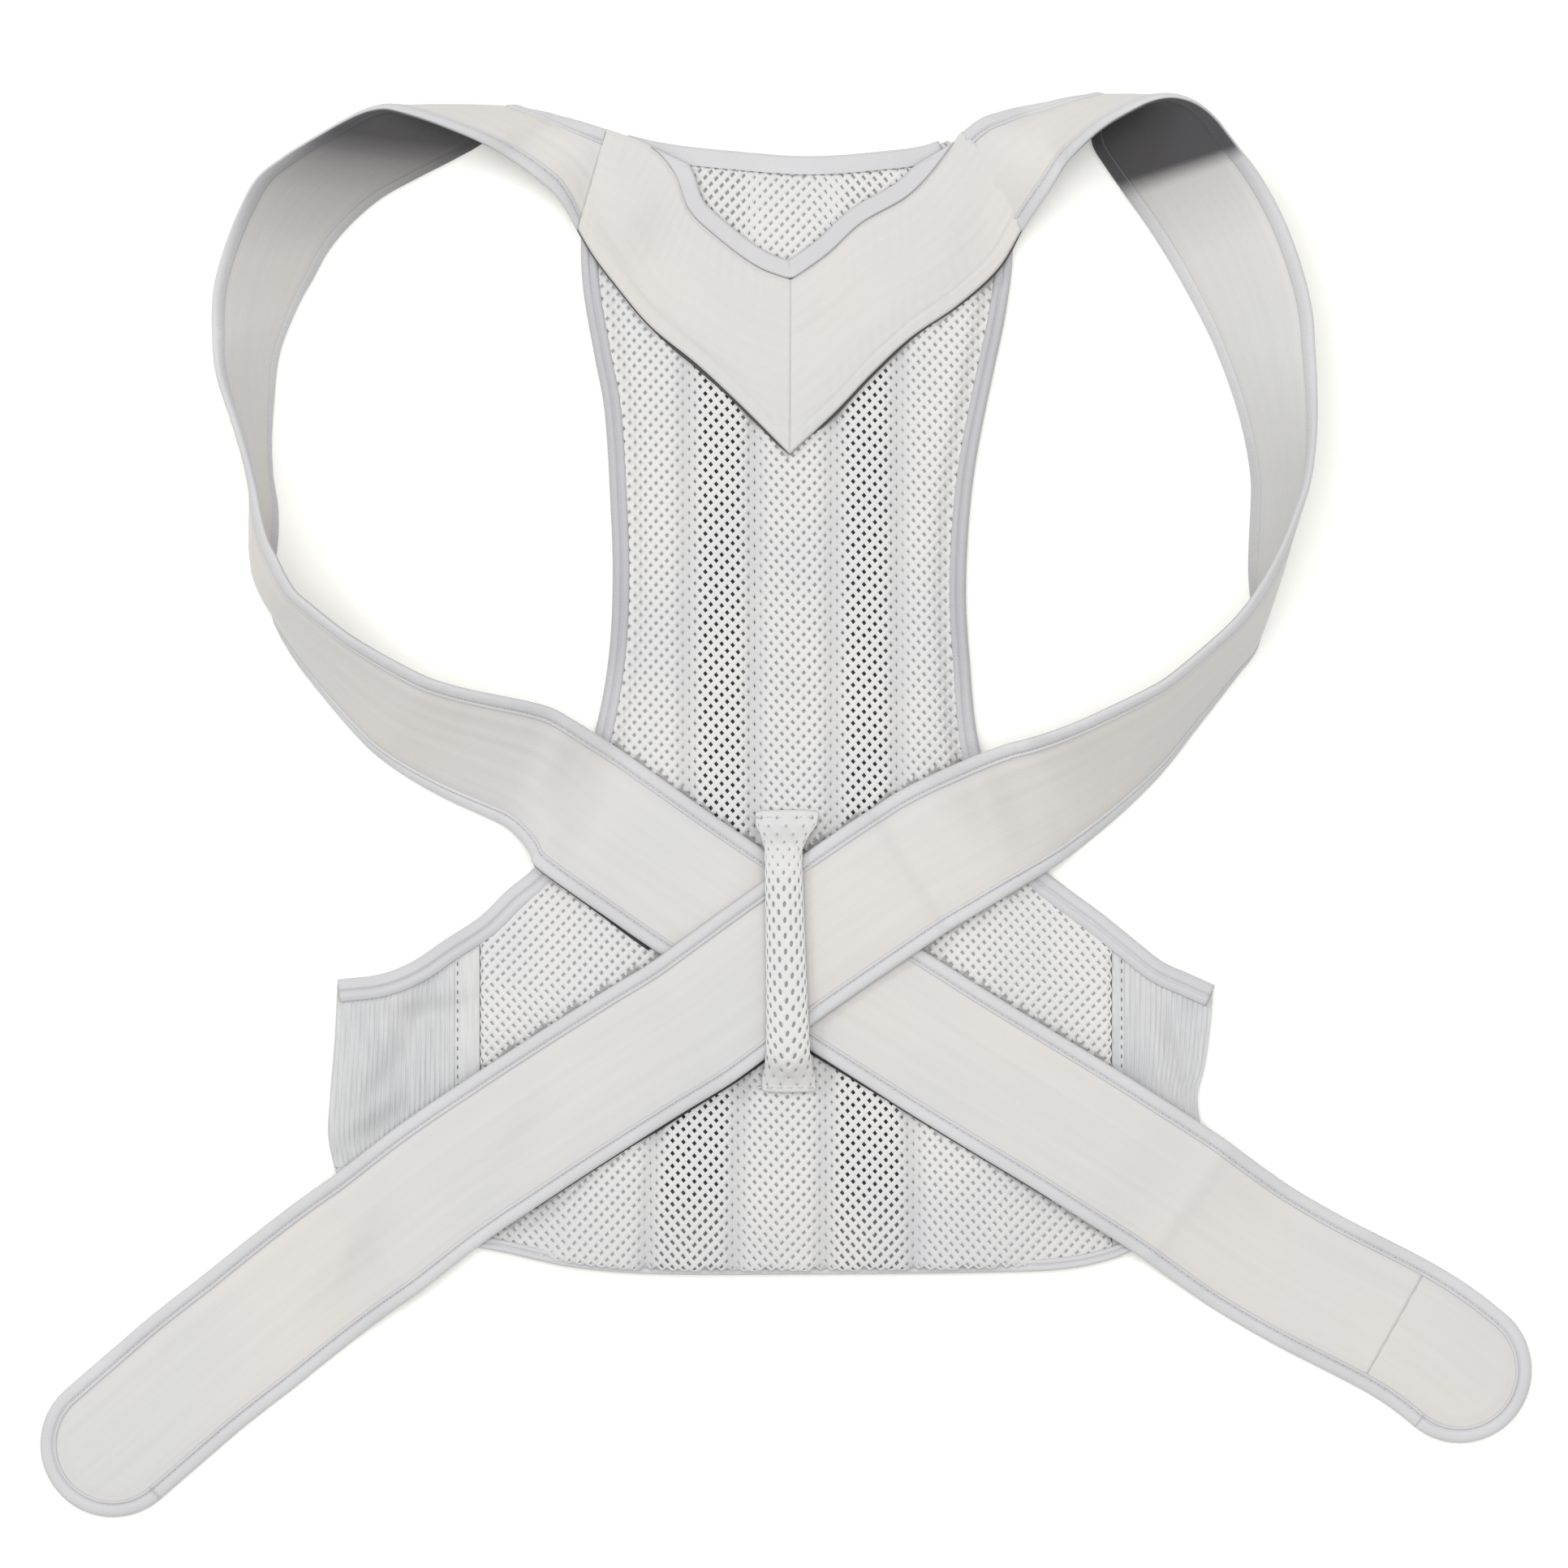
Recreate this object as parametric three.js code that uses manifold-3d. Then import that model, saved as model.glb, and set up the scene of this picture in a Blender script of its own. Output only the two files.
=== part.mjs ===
// A posture corrector lying on a table with the outside of its back panel up.
// Millimetres, +Z up, +X to the wearer's right in the picture, +Y toward the neck.
// The origin is on the table, under the middle of the object's outline, at its lower edge.
import * as THREE from "three";
import { mergeVertices } from "three/addons/utils/BufferGeometryUtils.js";
import Module from "manifold-3d";

// Driving sizes
const PANEL_LENGTH = 440;
const WAIST_WIDTH = 139;
const WING_SPAN = 347;
const LOOP_REACH = 226;
const LEFT_STRAP_END = 108;
const RIGHT_STRAP_END = 101;
const STRAP_WIDTH = 57;
const STRAP_THICKNESS = 2.6;
const STRAP_EDGE_THICKNESS = 3.4;
const STRAP_EDGE_WIDTH = 6.4;
const STRAP_PATCH_LENGTH = 32;
const PANEL_THICKNESS = 8;
const CHANNEL_DEPTH = 2.6;
const CHANNEL_HALF_WIDTH = 6;
const WING_THICKNESS = 4;
const ELASTIC_THICKNESS = 3;
const ELASTIC_RIB_HEIGHT = 0.5;
const ELASTIC_RIB_PITCH = 7.5;
const ELASTIC_WIDTH = 46;
const SEAM_STRIP_WIDTH = 9;
const RIGHT_SEAM_STRIP_WIDTH = 4;
const SIDE_BINDING_WIDTH = 6.7;
const WING_BINDING_WIDTH = 9;
const BOTTOM_BINDING_WIDTH = 5;
const NECK_BINDING_WIDTH = 8;
const BINDING_THICKNESS = 5;
const YOKE_THICKNESS = 3.4;
const YOKE_DOME = 1.4;
const YOKE_BINDING_WIDTH = 6.4;
const KEEPER_WIDTH = 15;
const KEEPER_HEIGHT = 6;
const CLEARANCE = 0.35;
const EDGE_GAP = 0.6;

// Shares that shape the forms
const BAND_CROWN = 0.12;
const SIDE_WIDENS_FROM = 0.55;
const SIDE_WIDENS_TO = 0.8;
const LEFT_WING_REACH = 1.02;
const RIGHT_WING_REACH = 0.95;
const RIGHT_ELASTIC_SHARE = 0.7;
const GROOVE_POWER = 1.5;
const WAIST_KEEPS_FULL = 0.95;
const WING_IS_THIN_FROM = 0.62;
const KEEPER_FLATNESS = 0.25;

// How finely the lines are stepped
const SIDE_STEPS = 40;
const BOTTOM_STEPS = 36;
const NECK_STEPS = 16;
const WING_END_STEPS = 12;
const WING_ROWS = 5;
const YOKE_STEPS = 18;
const STRAP_STEPS = 76;
const END_TURNS = 12;

// Sizes and levels worked out from the driving sizes
const HALF_WAIST = WAIST_WIDTH / 2;
const HALF_WING = WING_SPAN / 2;
const ON_TABLE = 0;
const ON_WING = BINDING_THICKNESS + CLEARANCE;
const ON_PANEL = PANEL_THICKNESS + CLEARANCE;
const ON_STRAP = ON_PANEL + STRAP_EDGE_THICKNESS + CLEARANCE;
const ON_CROSSING = ON_STRAP + STRAP_EDGE_THICKNESS + CLEARANCE;

// Outlines, seen from above. Columns: the size that the place across follows, the place
// across as a share of it, and the place up as a share of the panel's length.
const LEFT_SIDE = [
  [HALF_WAIST, -1.048, 1.018],
  [HALF_WAIST, -1.14, 0.977],
  [HALF_WAIST, -1.168, 0.93],
  [HALF_WAIST, -1.159, 0.885],
  [HALF_WAIST, -1.094, 0.823],
  [HALF_WAIST, -1.039, 0.777],
  [HALF_WAIST, -1.002, 0.69],
  [HALF_WAIST, -0.989, 0.622],
  [HALF_WAIST, -1.011, 0.553],
  [HALF_WING, -0.435, 0.487],
  [HALF_WING, -0.494, 0.414],
  [HALF_WING, -0.569, 0.366],
  [HALF_WING, -0.635, 0.344],
  [HALF_WING, -0.698, 0.32],
  [HALF_WING, -0.779, 0.299],
  [HALF_WING, -0.851, 0.28],
  [HALF_WING, -0.921, 0.269],
  [HALF_WING, -1.02, 0.264],
];
const RIGHT_SIDE = [
  [HALF_WAIST, 0.984, 1.017],
  [HALF_WAIST, 1.172, 0.984],
  [HALF_WAIST, 1.269, 0.944],
  [HALF_WAIST, 1.274, 0.908],
  [HALF_WAIST, 1.228, 0.853],
  [HALF_WAIST, 1.168, 0.808],
  [HALF_WAIST, 1.071, 0.731],
  [HALF_WAIST, 1.03, 0.678],
  [HALF_WAIST, 1.011, 0.609],
  [HALF_WAIST, 1.03, 0.553],
  [HALF_WING, 0.436, 0.471],
  [HALF_WING, 0.497, 0.407],
  [HALF_WING, 0.58, 0.363],
  [HALF_WING, 0.634, 0.346],
  [HALF_WING, 0.707, 0.325],
  [HALF_WING, 0.783, 0.301],
  [HALF_WING, 0.851, 0.28],
  [HALF_WING, 0.912, 0.269],
  [HALF_WING, 0.969, 0.259],
];
const BOTTOM_EDGE = [
  [HALF_WING, -1.026, 0.094],
  [HALF_WING, -0.976, 0.054],
  [HALF_WING, -0.856, 0.032],
  [HALF_WING, -0.672, 0.022],
  [HALF_WING, -0.497, 0.007],
  [HALF_WING, -0.343, 0.001],
  [HALF_WING, 0.02, 0],
  [HALF_WING, 0.484, 0.002],
  [HALF_WING, 0.61, 0.004],
  [HALF_WING, 0.692, 0.009],
  [HALF_WING, 0.775, 0.02],
  [HALF_WING, 0.866, 0.048],
  [HALF_WING, 0.917, 0.091],
  [HALF_WING, 0.936, 0.134],
];
const LEFT_WING_END = [
  [HALF_WING, -1.02, 0.264],
  [HALF_WING, -1.026, 0.214],
  [HALF_WING, -1.037, 0.16],
  [HALF_WING, -1.041, 0.123],
  [HALF_WING, -1.026, 0.094],
];
const RIGHT_WING_END = [
  [HALF_WING, 0.965, 0.259],
  [HALF_WING, 0.961, 0.232],
  [HALF_WING, 0.947, 0.189],
  [HALF_WING, 0.93, 0.16],
  [HALF_WING, 0.936, 0.134],
];
const NECK_EDGE = [
  [HALF_WAIST, -1.021, 1.024],
  [HALF_WAIST, -0.708, 1.012],
  [HALF_WAIST, -0.267, 1.004],
  [HALF_WAIST, 0.124, 1],
  [HALF_WAIST, 0.51, 1.004],
  [HALF_WAIST, 0.782, 1.01],
  [HALF_WAIST, 0.966, 1.022],
];

// The yoke's two arms, from the middle seam to the strap seam. Columns: places of the inner
// and the outer edge, across as shares of the half waist and up as shares of the panel's length.
const LEFT_YOKE = [
  [0.014, 0.889, 0.009, 0.733],
  [-0.166, 0.9, -0.23, 0.771],
  [-0.4, 0.927, -0.506, 0.812],
  [-0.556, 0.951, -0.782, 0.848],
  [-0.634, 0.983, -0.979, 0.885],
  [-0.768, 1.007, -1.094, 0.909],
  [-1.021, 1.023, -1.186, 0.933],
];
const RIGHT_YOKE = [
  [0.023, 0.889, 0.018, 0.733],
  [0.221, 0.911, 0.276, 0.771],
  [0.414, 0.939, 0.487, 0.806],
  [0.667, 0.962, 0.699, 0.837],
  [0.782, 0.979, 0.966, 0.866],
  [0.897, 1.002, 1.195, 0.899],
  [0.984, 1.02, 1.324, 0.932],
];

// The arm loops, from the yoke to where the strap lies down on the panel. Columns: the middle
// of the strap, across as a share of the loop's reach and up as a share of the panel's length;
// the way from its outer edge to its arm edge, as shares of the strap's width across, along
// and upward; the level of its lowest edge; and how far its middle bulges, as a share of its width.
const LEFT_LOOP = [
  [-0.368, 0.993, -0.22, -0.53, 0.12, ON_PANEL, 0],
  [-0.4, 1.004, -0.25, -0.43, 0.25, ON_WING, 0],
  [-0.434, 1.014, -0.32, -0.33, 0.38, ON_TABLE, 0],
  [-0.471, 1.023, -0.42, -0.24, 0.5, ON_TABLE, 0],
  [-0.511, 1.03, -0.54, -0.16, 0.58, ON_TABLE, 0],
  [-0.547, 1.036, -0.71, -0.09, 0.63, ON_TABLE, 0],
  [-0.58, 1.04, -0.9, -0.04, 0.66, ON_TABLE, 0],
  [-0.61, 1.034, -0.98, -0.01, 0.66, ON_TABLE, 0],
  [-0.647, 1.02, -0.98, 0.07, 0.64, ON_TABLE, 0],
  [-0.687, 1.008, -0.97, 0.08, 0.62, ON_TABLE, 0],
  [-0.728, 0.996, -0.93, 0.09, 0.61, ON_TABLE, 0],
  [-0.811, 0.969, -0.83, 0.08, 0.64, ON_TABLE, 0],
  [-0.873, 0.925, -0.7, -0.03, 0.72, ON_TABLE, 0],
  [-0.908, 0.882, -0.62, -0.11, 0.78, ON_TABLE, 0],
  [-0.922, 0.851, -0.51, -0.19, 0.84, ON_TABLE, 0],
  [-0.934, 0.82, -0.38, -0.1, 0.92, ON_TABLE, 0],
  [-0.934, 0.791, -0.3, -0.01, 0.95, ON_TABLE, 0],
  [-0.921, 0.736, -0.14, 0.09, 0.98, ON_TABLE, 0],
  [-0.904, 0.694, -0.1, 0.11, 0.98, ON_TABLE, 0.06],
  [-0.895, 0.656, -0.03, 0.07, 0.98, ON_TABLE, 0.12],
  [-0.888, 0.627, 0.11, 0.11, 0.98, ON_TABLE, 0.12],
  [-0.87, 0.602, 0.17, 0.12, 0.97, ON_TABLE, 0.08],
  [-0.845, 0.584, 0.3, 0.11, 0.95, ON_TABLE, 0.05],
  [-0.798, 0.556, 0.37, 0.2, 0.905, ON_TABLE, 0.03],
  [-0.721, 0.519, 0.32, 0.45, 0.83, ON_TABLE, 0.02],
  [-0.658, 0.496, 0.37, 0.54, 0.76, ON_TABLE, 0.02],
  [-0.587, 0.479, 0.37, 0.65, 0.665, ON_TABLE, 0],
  [-0.516, 0.466, 0.37, 0.74, 0.555, ON_TABLE, 0],
  [-0.451, 0.454, 0.34, 0.81, 0.42, ON_TABLE, 0],
  [-0.402, 0.435, 0.39, 0.85, 0.2, ON_WING, 0],
];
const RIGHT_LOOP = [
  [0.385, 0.992, 0.39, -0.63, 0.14, ON_PANEL, 0],
  [0.415, 1.004, 0.33, -0.55, 0.3, ON_WING, 0],
  [0.444, 1.016, 0.27, -0.44, 0.46, ON_TABLE, 0],
  [0.477, 1.025, 0.21, -0.35, 0.6, ON_TABLE, 0],
  [0.513, 1.035, 0.21, -0.25, 0.72, ON_TABLE, 0],
  [0.552, 1.043, 0.27, -0.15, 0.8, ON_TABLE, 0],
  [0.592, 1.049, 0.41, -0.06, 0.84, ON_TABLE, 0],
  [0.614, 1.039, 0.65, 0.04, 0.84, ON_TABLE, 0],
  [0.634, 1.019, 0.81, 0.12, 0.8, ON_TABLE, 0],
  [0.668, 0.994, 0.79, 0.2, 0.74, ON_TABLE, 0],
  [0.719, 0.958, 0.75, 0.28, 0.72, ON_TABLE, 0],
  [0.766, 0.916, 0.75, 0.22, 0.72, ON_TABLE, 0],
  [0.808, 0.864, 0.71, 0.09, 0.75, ON_TABLE, 0],
  [0.828, 0.823, 0.62, -0.02, 0.79, ON_TABLE, 0],
  [0.847, 0.767, 0.48, -0.08, 0.88, ON_TABLE, 0.03],
  [0.852, 0.716, 0.35, -0.07, 0.93, ON_TABLE, 0.06],
  [0.842, 0.683, 0.26, -0.06, 0.96, ON_TABLE, 0.1],
  [0.829, 0.653, 0.18, -0.04, 0.98, ON_TABLE, 0.12],
  [0.815, 0.622, 0.07, 0.02, 0.98, ON_TABLE, 0.12],
  [0.803, 0.595, -0.08, 0.06, 0.98, ON_TABLE, 0.1],
  [0.787, 0.571, -0.21, 0.13, 0.97, ON_TABLE, 0.06],
  [0.744, 0.545, -0.2, 0.23, 0.95, ON_TABLE, 0.03],
  [0.675, 0.507, -0.2, 0.37, 0.905, ON_TABLE, 0.02],
  [0.615, 0.481, -0.29, 0.48, 0.83, ON_TABLE, 0.02],
  [0.536, 0.453, -0.4, 0.58, 0.706, ON_TABLE, 0],
  [0.461, 0.43, -0.38, 0.75, 0.5, ON_TABLE, 0],
  [0.4, 0.415, -0.42, 0.83, 0.36, ON_WING, 0],
];

// The straps where they lie on the panel. Columns: the middle of the strap, across as a share
// of the half wing span and up as a share of the panel's length, and the level of its underside.
const LEFT_STRAP_ON_PANEL = [
  [-0.466, 0.415, ON_PANEL],
  [-0.337, 0.379, ON_PANEL],
  [-0.232, 0.35, ON_PANEL],
  [-0.037, 0.299, ON_PANEL],
  [0.203, 0.24, ON_PANEL],
  [0.35, 0.203, ON_PANEL],
  [0.495, 0.168, ON_PANEL],
  [0.646, 0.132, ON_PANEL],
  [0.746, 0.107, ON_PANEL],
  [0.853, 0.08, ON_WING],
  [0.902, 0.067, ON_WING],
];
const RIGHT_STRAP_ON_PANEL = [
  [0.365, 0.383, ON_PANEL],
  [0.293, 0.366, ON_PANEL],
  [0.23, 0.35, ON_STRAP],
  [0.118, 0.32, ON_STRAP],
  [0.004, 0.289, ON_STRAP],
  [-0.109, 0.257, ON_STRAP],
  [-0.221, 0.225, ON_STRAP],
  [-0.304, 0.205, ON_PANEL],
  [-0.497, 0.157, ON_PANEL],
  [-0.667, 0.113, ON_PANEL],
  [-0.786, 0.081, ON_WING],
  [-0.917, 0.041, ON_WING],
  [-0.948, 0.032, ON_WING],
];

// The free ends past the wings. Columns: how far on from the last row on the panel, across and
// up as shares of the free end's reach, and the level of its underside.
const LEFT_STRAP_FREE = [
  [0.083, -0.062, ON_WING / 2],
  [0.24, -0.172, ON_TABLE],
  [0.427, -0.282, ON_TABLE],
  [0.605, -0.374, ON_TABLE],
  [0.76, -0.454, ON_TABLE],
  [0.89, -0.534, ON_TABLE],
  [1, -0.62, ON_TABLE],
];
const RIGHT_STRAP_FREE = [
  [-0.12, -0.085, ON_WING / 2],
  [-0.297, -0.221, ON_TABLE],
  [-0.473, -0.363, ON_TABLE],
  [-0.656, -0.505, ON_TABLE],
  [-0.836, -0.659, ON_TABLE],
  [-1, -0.801, ON_TABLE],
];

// Seams between the padded channels. Columns: place at the waist as a share of the half waist,
// and place at the bottom edge as a share of the half wing span.
const CHANNEL_SEAMS = [
  [-0.566, -0.32],
  [-0.184, -0.12],
  [0.262, 0.083],
  [0.634, 0.289],
];
const CHANNELS_SPREAD_FROM = 0.42;
const CHANNELS_FADE_FROM = 0.78;
const CHANNELS_FADE_TO = 0.88;

// The keeper loop. Columns: place along the panel as a share of its length, width and height as
// shares of the keeper's, and its level as a share of the rise from the panel over the straps.
const KEEPER = [
  [0.414, 1.55, 0.4, 0],
  [0.4, 1.4, 0.45, 0],
  [0.391, 1.1, 0.8, 0.55],
  [0.383, 0.95, 0.95, 1],
  [0.34, 0.95, 1, 1],
  [0.29, 1, 1, 1],
  [0.24, 1, 1, 1],
  [0.192, 1, 0.95, 1],
  [0.184, 1.1, 0.8, 0.5],
  [0.175, 1.3, 0.45, 0],
  [0.163, 1.4, 0.4, 0],
];
const KEEPER_MIDDLE = -0.006;

const COLOURS = {
  strap: 0xdddbd7,
  binding: 0xd6d6d8,
  mesh: 0xe4e2df,
  elastic: 0xd8d8d8,
  keeper: 0xdedcd9,
};

// Making closed meshes

// A closed slab through rows. Each row holds as many points on its top as on its underside.
function slab(rows) {
  const across = rows[0].top.length;
  const ring = 2 * across;
  const points = rows.flatMap((row) => [...row.top, ...row.under]);
  const faces = [];
  const quad = (a, b, c, d) => faces.push(a, b, c, a, c, d);
  for (let row = 0; row + 1 < rows.length; row += 1) {
    const here = row * ring;
    const next = here + ring;
    for (let step = 0; step + 1 < across; step += 1) {
      const top = here + step;
      const under = here + across + step;
      quad(top, top + 1, top + ring + 1, top + ring);
      quad(under, under + ring, under + ring + 1, under + 1);
    }
    quad(here, next, next + across, here + across);
    quad(here + across - 1, here + ring - 1, next + ring - 1, next + across - 1);
  }
  const last = (rows.length - 1) * ring;
  for (let step = 0; step + 1 < across; step += 1) {
    quad(step, across + step, across + step + 1, step + 1);
    quad(last + step, last + step + 1, last + across + step + 1, last + across + step);
  }
  return facingOut(points, faces);
}

// A geometry from points and faces, turned so that its faces point out.
function facingOut(points, faces) {
  let volume = 0;
  for (let corner = 0; corner < faces.length; corner += 3) {
    const [a, b, c] = faces.slice(corner, corner + 3).map((index) => points[index]);
    volume += a.dot(new THREE.Vector3().crossVectors(b, c));
  }
  const index = volume > 0 ? faces : faces.slice().reverse();
  const geometry = new THREE.BufferGeometry();
  const places = points.flatMap((point) => point.toArray());
  geometry.setAttribute("position", new THREE.Float32BufferAttribute(places, 3));
  geometry.setIndex(index);
  geometry.computeVertexNormals();
  return geometry;
}

const solids = await Module();
solids.setup();

function solidOf(geometry) {
  const bare = geometry.clone();
  bare.deleteAttribute("normal");
  const merged = mergeVertices(bare);
  const mesh = new solids.Mesh({
    numProp: 3,
    vertProperties: merged.attributes.position.array,
    triVerts: new Uint32Array(merged.index.array),
  });
  return new solids.Manifold(mesh);
}

// A geometry with what its neighbours need for themselves cut away.
function trimmed(geometry, cutters) {
  let solid = solidOf(geometry);
  for (const cutter of cutters) solid = solid.subtract(solidOf(cutter));
  const mesh = solid.getMesh();
  const places = new THREE.Float32BufferAttribute(mesh.vertProperties, mesh.numProp);
  const result = new THREE.BufferGeometry();
  result.setAttribute("position", places);
  result.setIndex(new THREE.Uint32BufferAttribute(mesh.triVerts, 1));
  result.computeVertexNormals();
  return result;
}

function piece(name, geometry, colour, roughness) {
  const material = new THREE.MeshStandardMaterial({ color: colour, roughness, metalness: 0 });
  const mesh = new THREE.Mesh(geometry, material);
  mesh.name = name;
  return mesh;
}

const mix = THREE.MathUtils.lerp;
const at = (x, y, z) => new THREE.Vector3(x, y, z);

// Lines in plan

function planPoints(table) {
  return table.map(([size, across, up]) => at(size * across, PANEL_LENGTH * up, 0));
}

// A smooth line through points, as so many even steps.
function smooth(points, steps) {
  return new THREE.CatmullRomCurve3(points, false, "centripetal").getSpacedPoints(steps);
}

// The line moved sideways in plan, to its left where the distance is positive.
function beside(line, distanceAt) {
  return line.map((point, index) => {
    const before = line[Math.max(index - 1, 0)];
    const after = line[Math.min(index + 1, line.length - 1)];
    const along = after.clone().sub(before).setZ(0).normalize();
    const distance = distanceAt(index / (line.length - 1));
    return at(point.x - along.y * distance, point.y + along.x * distance, point.z);
  });
}

// The place on a line at a given value of one coordinate, which rises or falls all along it.
function placeAt(line, known, wanted, value) {
  for (let index = 0; index + 1 < line.length; index += 1) {
    const here = line[index][known];
    const next = line[index + 1][known];
    if ((value - here) * (value - next) <= 0 && here !== next) {
      return mix(line[index][wanted], line[index + 1][wanted], (value - here) / (next - here));
    }
  }
  const first = line[0];
  const last = line[line.length - 1];
  const nearest = Math.abs(value - first[known]) < Math.abs(value - last[known]) ? first : last;
  return nearest[wanted];
}

// A flat band between two lines of as many points, standing from one level to another.
function band(lineA, lineB, bottom, top) {
  const crown = (top - bottom) * BAND_CROWN;
  const rows = lineA.map((a, index) => {
    const b = lineB[index];
    const middle = a.clone().lerp(b, 0.5);
    return {
      top: [a.clone().setZ(top - crown), middle.clone().setZ(top), b.clone().setZ(top - crown)],
      under: [a, middle, b].map((point) => point.clone().setZ(bottom)),
    };
  });
  return slab(rows);
}

// Bindings round the back panel

function sideWidth(share) {
  const widened = THREE.MathUtils.smoothstep(share, SIDE_WIDENS_FROM, SIDE_WIDENS_TO);
  return mix(SIDE_BINDING_WIDTH, WING_BINDING_WIDTH, widened);
}

const leftSide = smooth(planPoints(LEFT_SIDE), SIDE_STEPS);
const rightSide = smooth(planPoints(RIGHT_SIDE), SIDE_STEPS);
const leftSideInner = beside(leftSide, sideWidth);
const rightSideInner = beside(rightSide, (share) => -sideWidth(share));
const leftPanelLimit = beside(leftSide, (share) => sideWidth(share) + CLEARANCE);
const rightPanelLimit = beside(rightSide, (share) => -sideWidth(share) - CLEARANCE);

const bottomEdge = smooth(planPoints(BOTTOM_EDGE), BOTTOM_STEPS);
const bottomInner = beside(bottomEdge, () => BOTTOM_BINDING_WIDTH);
const bottomLimit = beside(bottomEdge, () => BOTTOM_BINDING_WIDTH + CLEARANCE);

const neckEdge = smooth(planPoints(NECK_EDGE), NECK_STEPS);
const neckInner = beside(neckEdge, () => -NECK_BINDING_WIDTH);
const neckLimit = beside(neckEdge, () => -NECK_BINDING_WIDTH - CLEARANCE);

// The room that the bindings take, with their clearance, cut out of what they border.
const bindingRoom = [
  band(leftSide, leftPanelLimit, -PANEL_THICKNESS, ON_CROSSING),
  band(rightSide, rightPanelLimit, -PANEL_THICKNESS, ON_CROSSING),
  band(bottomEdge, bottomLimit, -PANEL_THICKNESS, ON_CROSSING),
  band(neckEdge, neckLimit, -PANEL_THICKNESS, ON_CROSSING),
];

// The neck's binding starts and ends one step in from the sides, clear of their bindings.
function bindings() {
  const neckOuter = neckEdge.slice(1, -1);
  const neckOwnInner = neckInner.slice(1, -1);
  const binding = (name, outer, inner, top) => piece(name, band(outer, inner, 0, top), COLOURS.binding, 0.7);
  return [
    binding("left_side_binding", leftSide, leftSideInner, BINDING_THICKNESS),
    binding("right_side_binding", rightSide, rightSideInner, BINDING_THICKNESS),
    binding("bottom_binding", bottomEdge, bottomInner, BINDING_THICKNESS),
    binding("neck_binding", neckOuter, neckOwnInner, PANEL_THICKNESS),
  ];
}

// The padded back panel between its bindings and the two elastic wings

const leftElasticEdge = -HALF_WING * LEFT_WING_REACH + ELASTIC_WIDTH;
const rightElasticEdge = HALF_WING * RIGHT_WING_REACH - ELASTIC_WIDTH * RIGHT_ELASTIC_SHARE;
const leftMeshEdge = leftElasticEdge + SEAM_STRIP_WIDTH + CLEARANCE;
const rightMeshEdge = rightElasticEdge - RIGHT_SEAM_STRIP_WIDTH - CLEARANCE;
const neckMiddle = placeAt(neckLimit, "x", "y", 0);
const bottomMiddle = placeAt(bottomLimit, "x", "y", 0);

// The seams between the channels at a place up the panel.
function seamsAt(y) {
  const spread = 1 - THREE.MathUtils.smoothstep(y, 0, CHANNELS_SPREAD_FROM * PANEL_LENGTH);
  return CHANNEL_SEAMS.map(([waist, low]) => mix(waist * HALF_WAIST, low * HALF_WING, spread));
}

function panelHeight(x, y, left, right) {
  const nearest = Math.min(...seamsAt(y).map((seam) => Math.abs(x - seam)));
  const share = y / PANEL_LENGTH;
  const fade = 1 - THREE.MathUtils.smoothstep(share, CHANNELS_FADE_FROM, CHANNELS_FADE_TO);
  const groove = CHANNEL_DEPTH * fade * Math.max(0, 1 - nearest / CHANNEL_HALF_WIDTH) ** GROOVE_POWER;
  const fullTo = HALF_WAIST * WAIST_KEEPS_FULL;
  const thinFrom = HALF_WING * WING_IS_THIN_FROM;
  const toWing = THREE.MathUtils.smoothstep(Math.abs(x), fullTo, thinFrom);
  const edge = Math.min(x - left, right - x) / CHANNEL_HALF_WIDTH;
  const rounding = (1 - THREE.MathUtils.smoothstep(edge, -0.2, 1)) * (PANEL_THICKNESS - BINDING_THICKNESS);
  const full = mix(PANEL_THICKNESS, WING_THICKNESS, toWing);
  return Math.max(full - groove - rounding, WING_THICKNESS);
}

// The panel in rows, closer together where its sides turn in from the wings to the waist.
function backPanel() {
  const stations = [
    0, 0.03, 0.08, 0.13, 0.18, 0.22, 0.245, 0.265, 0.28, 0.295, 0.31, 0.33, 0.355, 0.385, 0.42,
    0.5, 0.6, 0.7, 0.78, 0.84, 0.9, 0.94, 1,
  ];
  const fractions = [0, 0.18, 0.5, 0.82];
  const bottomShare = 0.12;
  const neckShare = 0.8;
  const rows = stations.map((station) => {
    const level = mix(bottomMiddle, neckMiddle, station);
    const bottomWeight = Math.max(0, 1 - station / bottomShare);
    const neckWeight = Math.max(0, (station - neckShare) / (1 - neckShare));
    const bowed = (x) => {
      const bottomBow = placeAt(bottomLimit, "x", "y", x) - bottomMiddle;
      const neckBow = placeAt(neckLimit, "x", "y", x) - neckMiddle;
      return level + bottomBow * bottomWeight + neckBow * neckWeight;
    };
    const edgeOf = (line, meshEdge, keep) => {
      let x = keep(placeAt(line, "y", "x", level), meshEdge);
      for (let pass = 0; pass < 3; pass += 1) {
        x = keep(placeAt(line, "y", "x", bowed(x)), meshEdge);
      }
      return x;
    };
    const left = edgeOf(leftPanelLimit, leftMeshEdge, Math.max);
    const right = edgeOf(rightPanelLimit, rightMeshEdge, Math.min);
    const stops = [left, ...seamsAt(level), right];
    const channel = (stop, index) => fractions.map((share) => mix(stop, stops[index + 1], share));
    const places = stops.slice(0, -1).flatMap(channel);
    places.push(right);
    return {
      top: places.map((x) => at(x, bowed(x), panelHeight(x, level, left, right))),
      under: places.map((x) => at(x, bowed(x), 0)),
    };
  });
  return piece("back_panel", trimmed(slab(rows), bindingRoom), COLOURS.mesh, 0.9);
}

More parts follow.
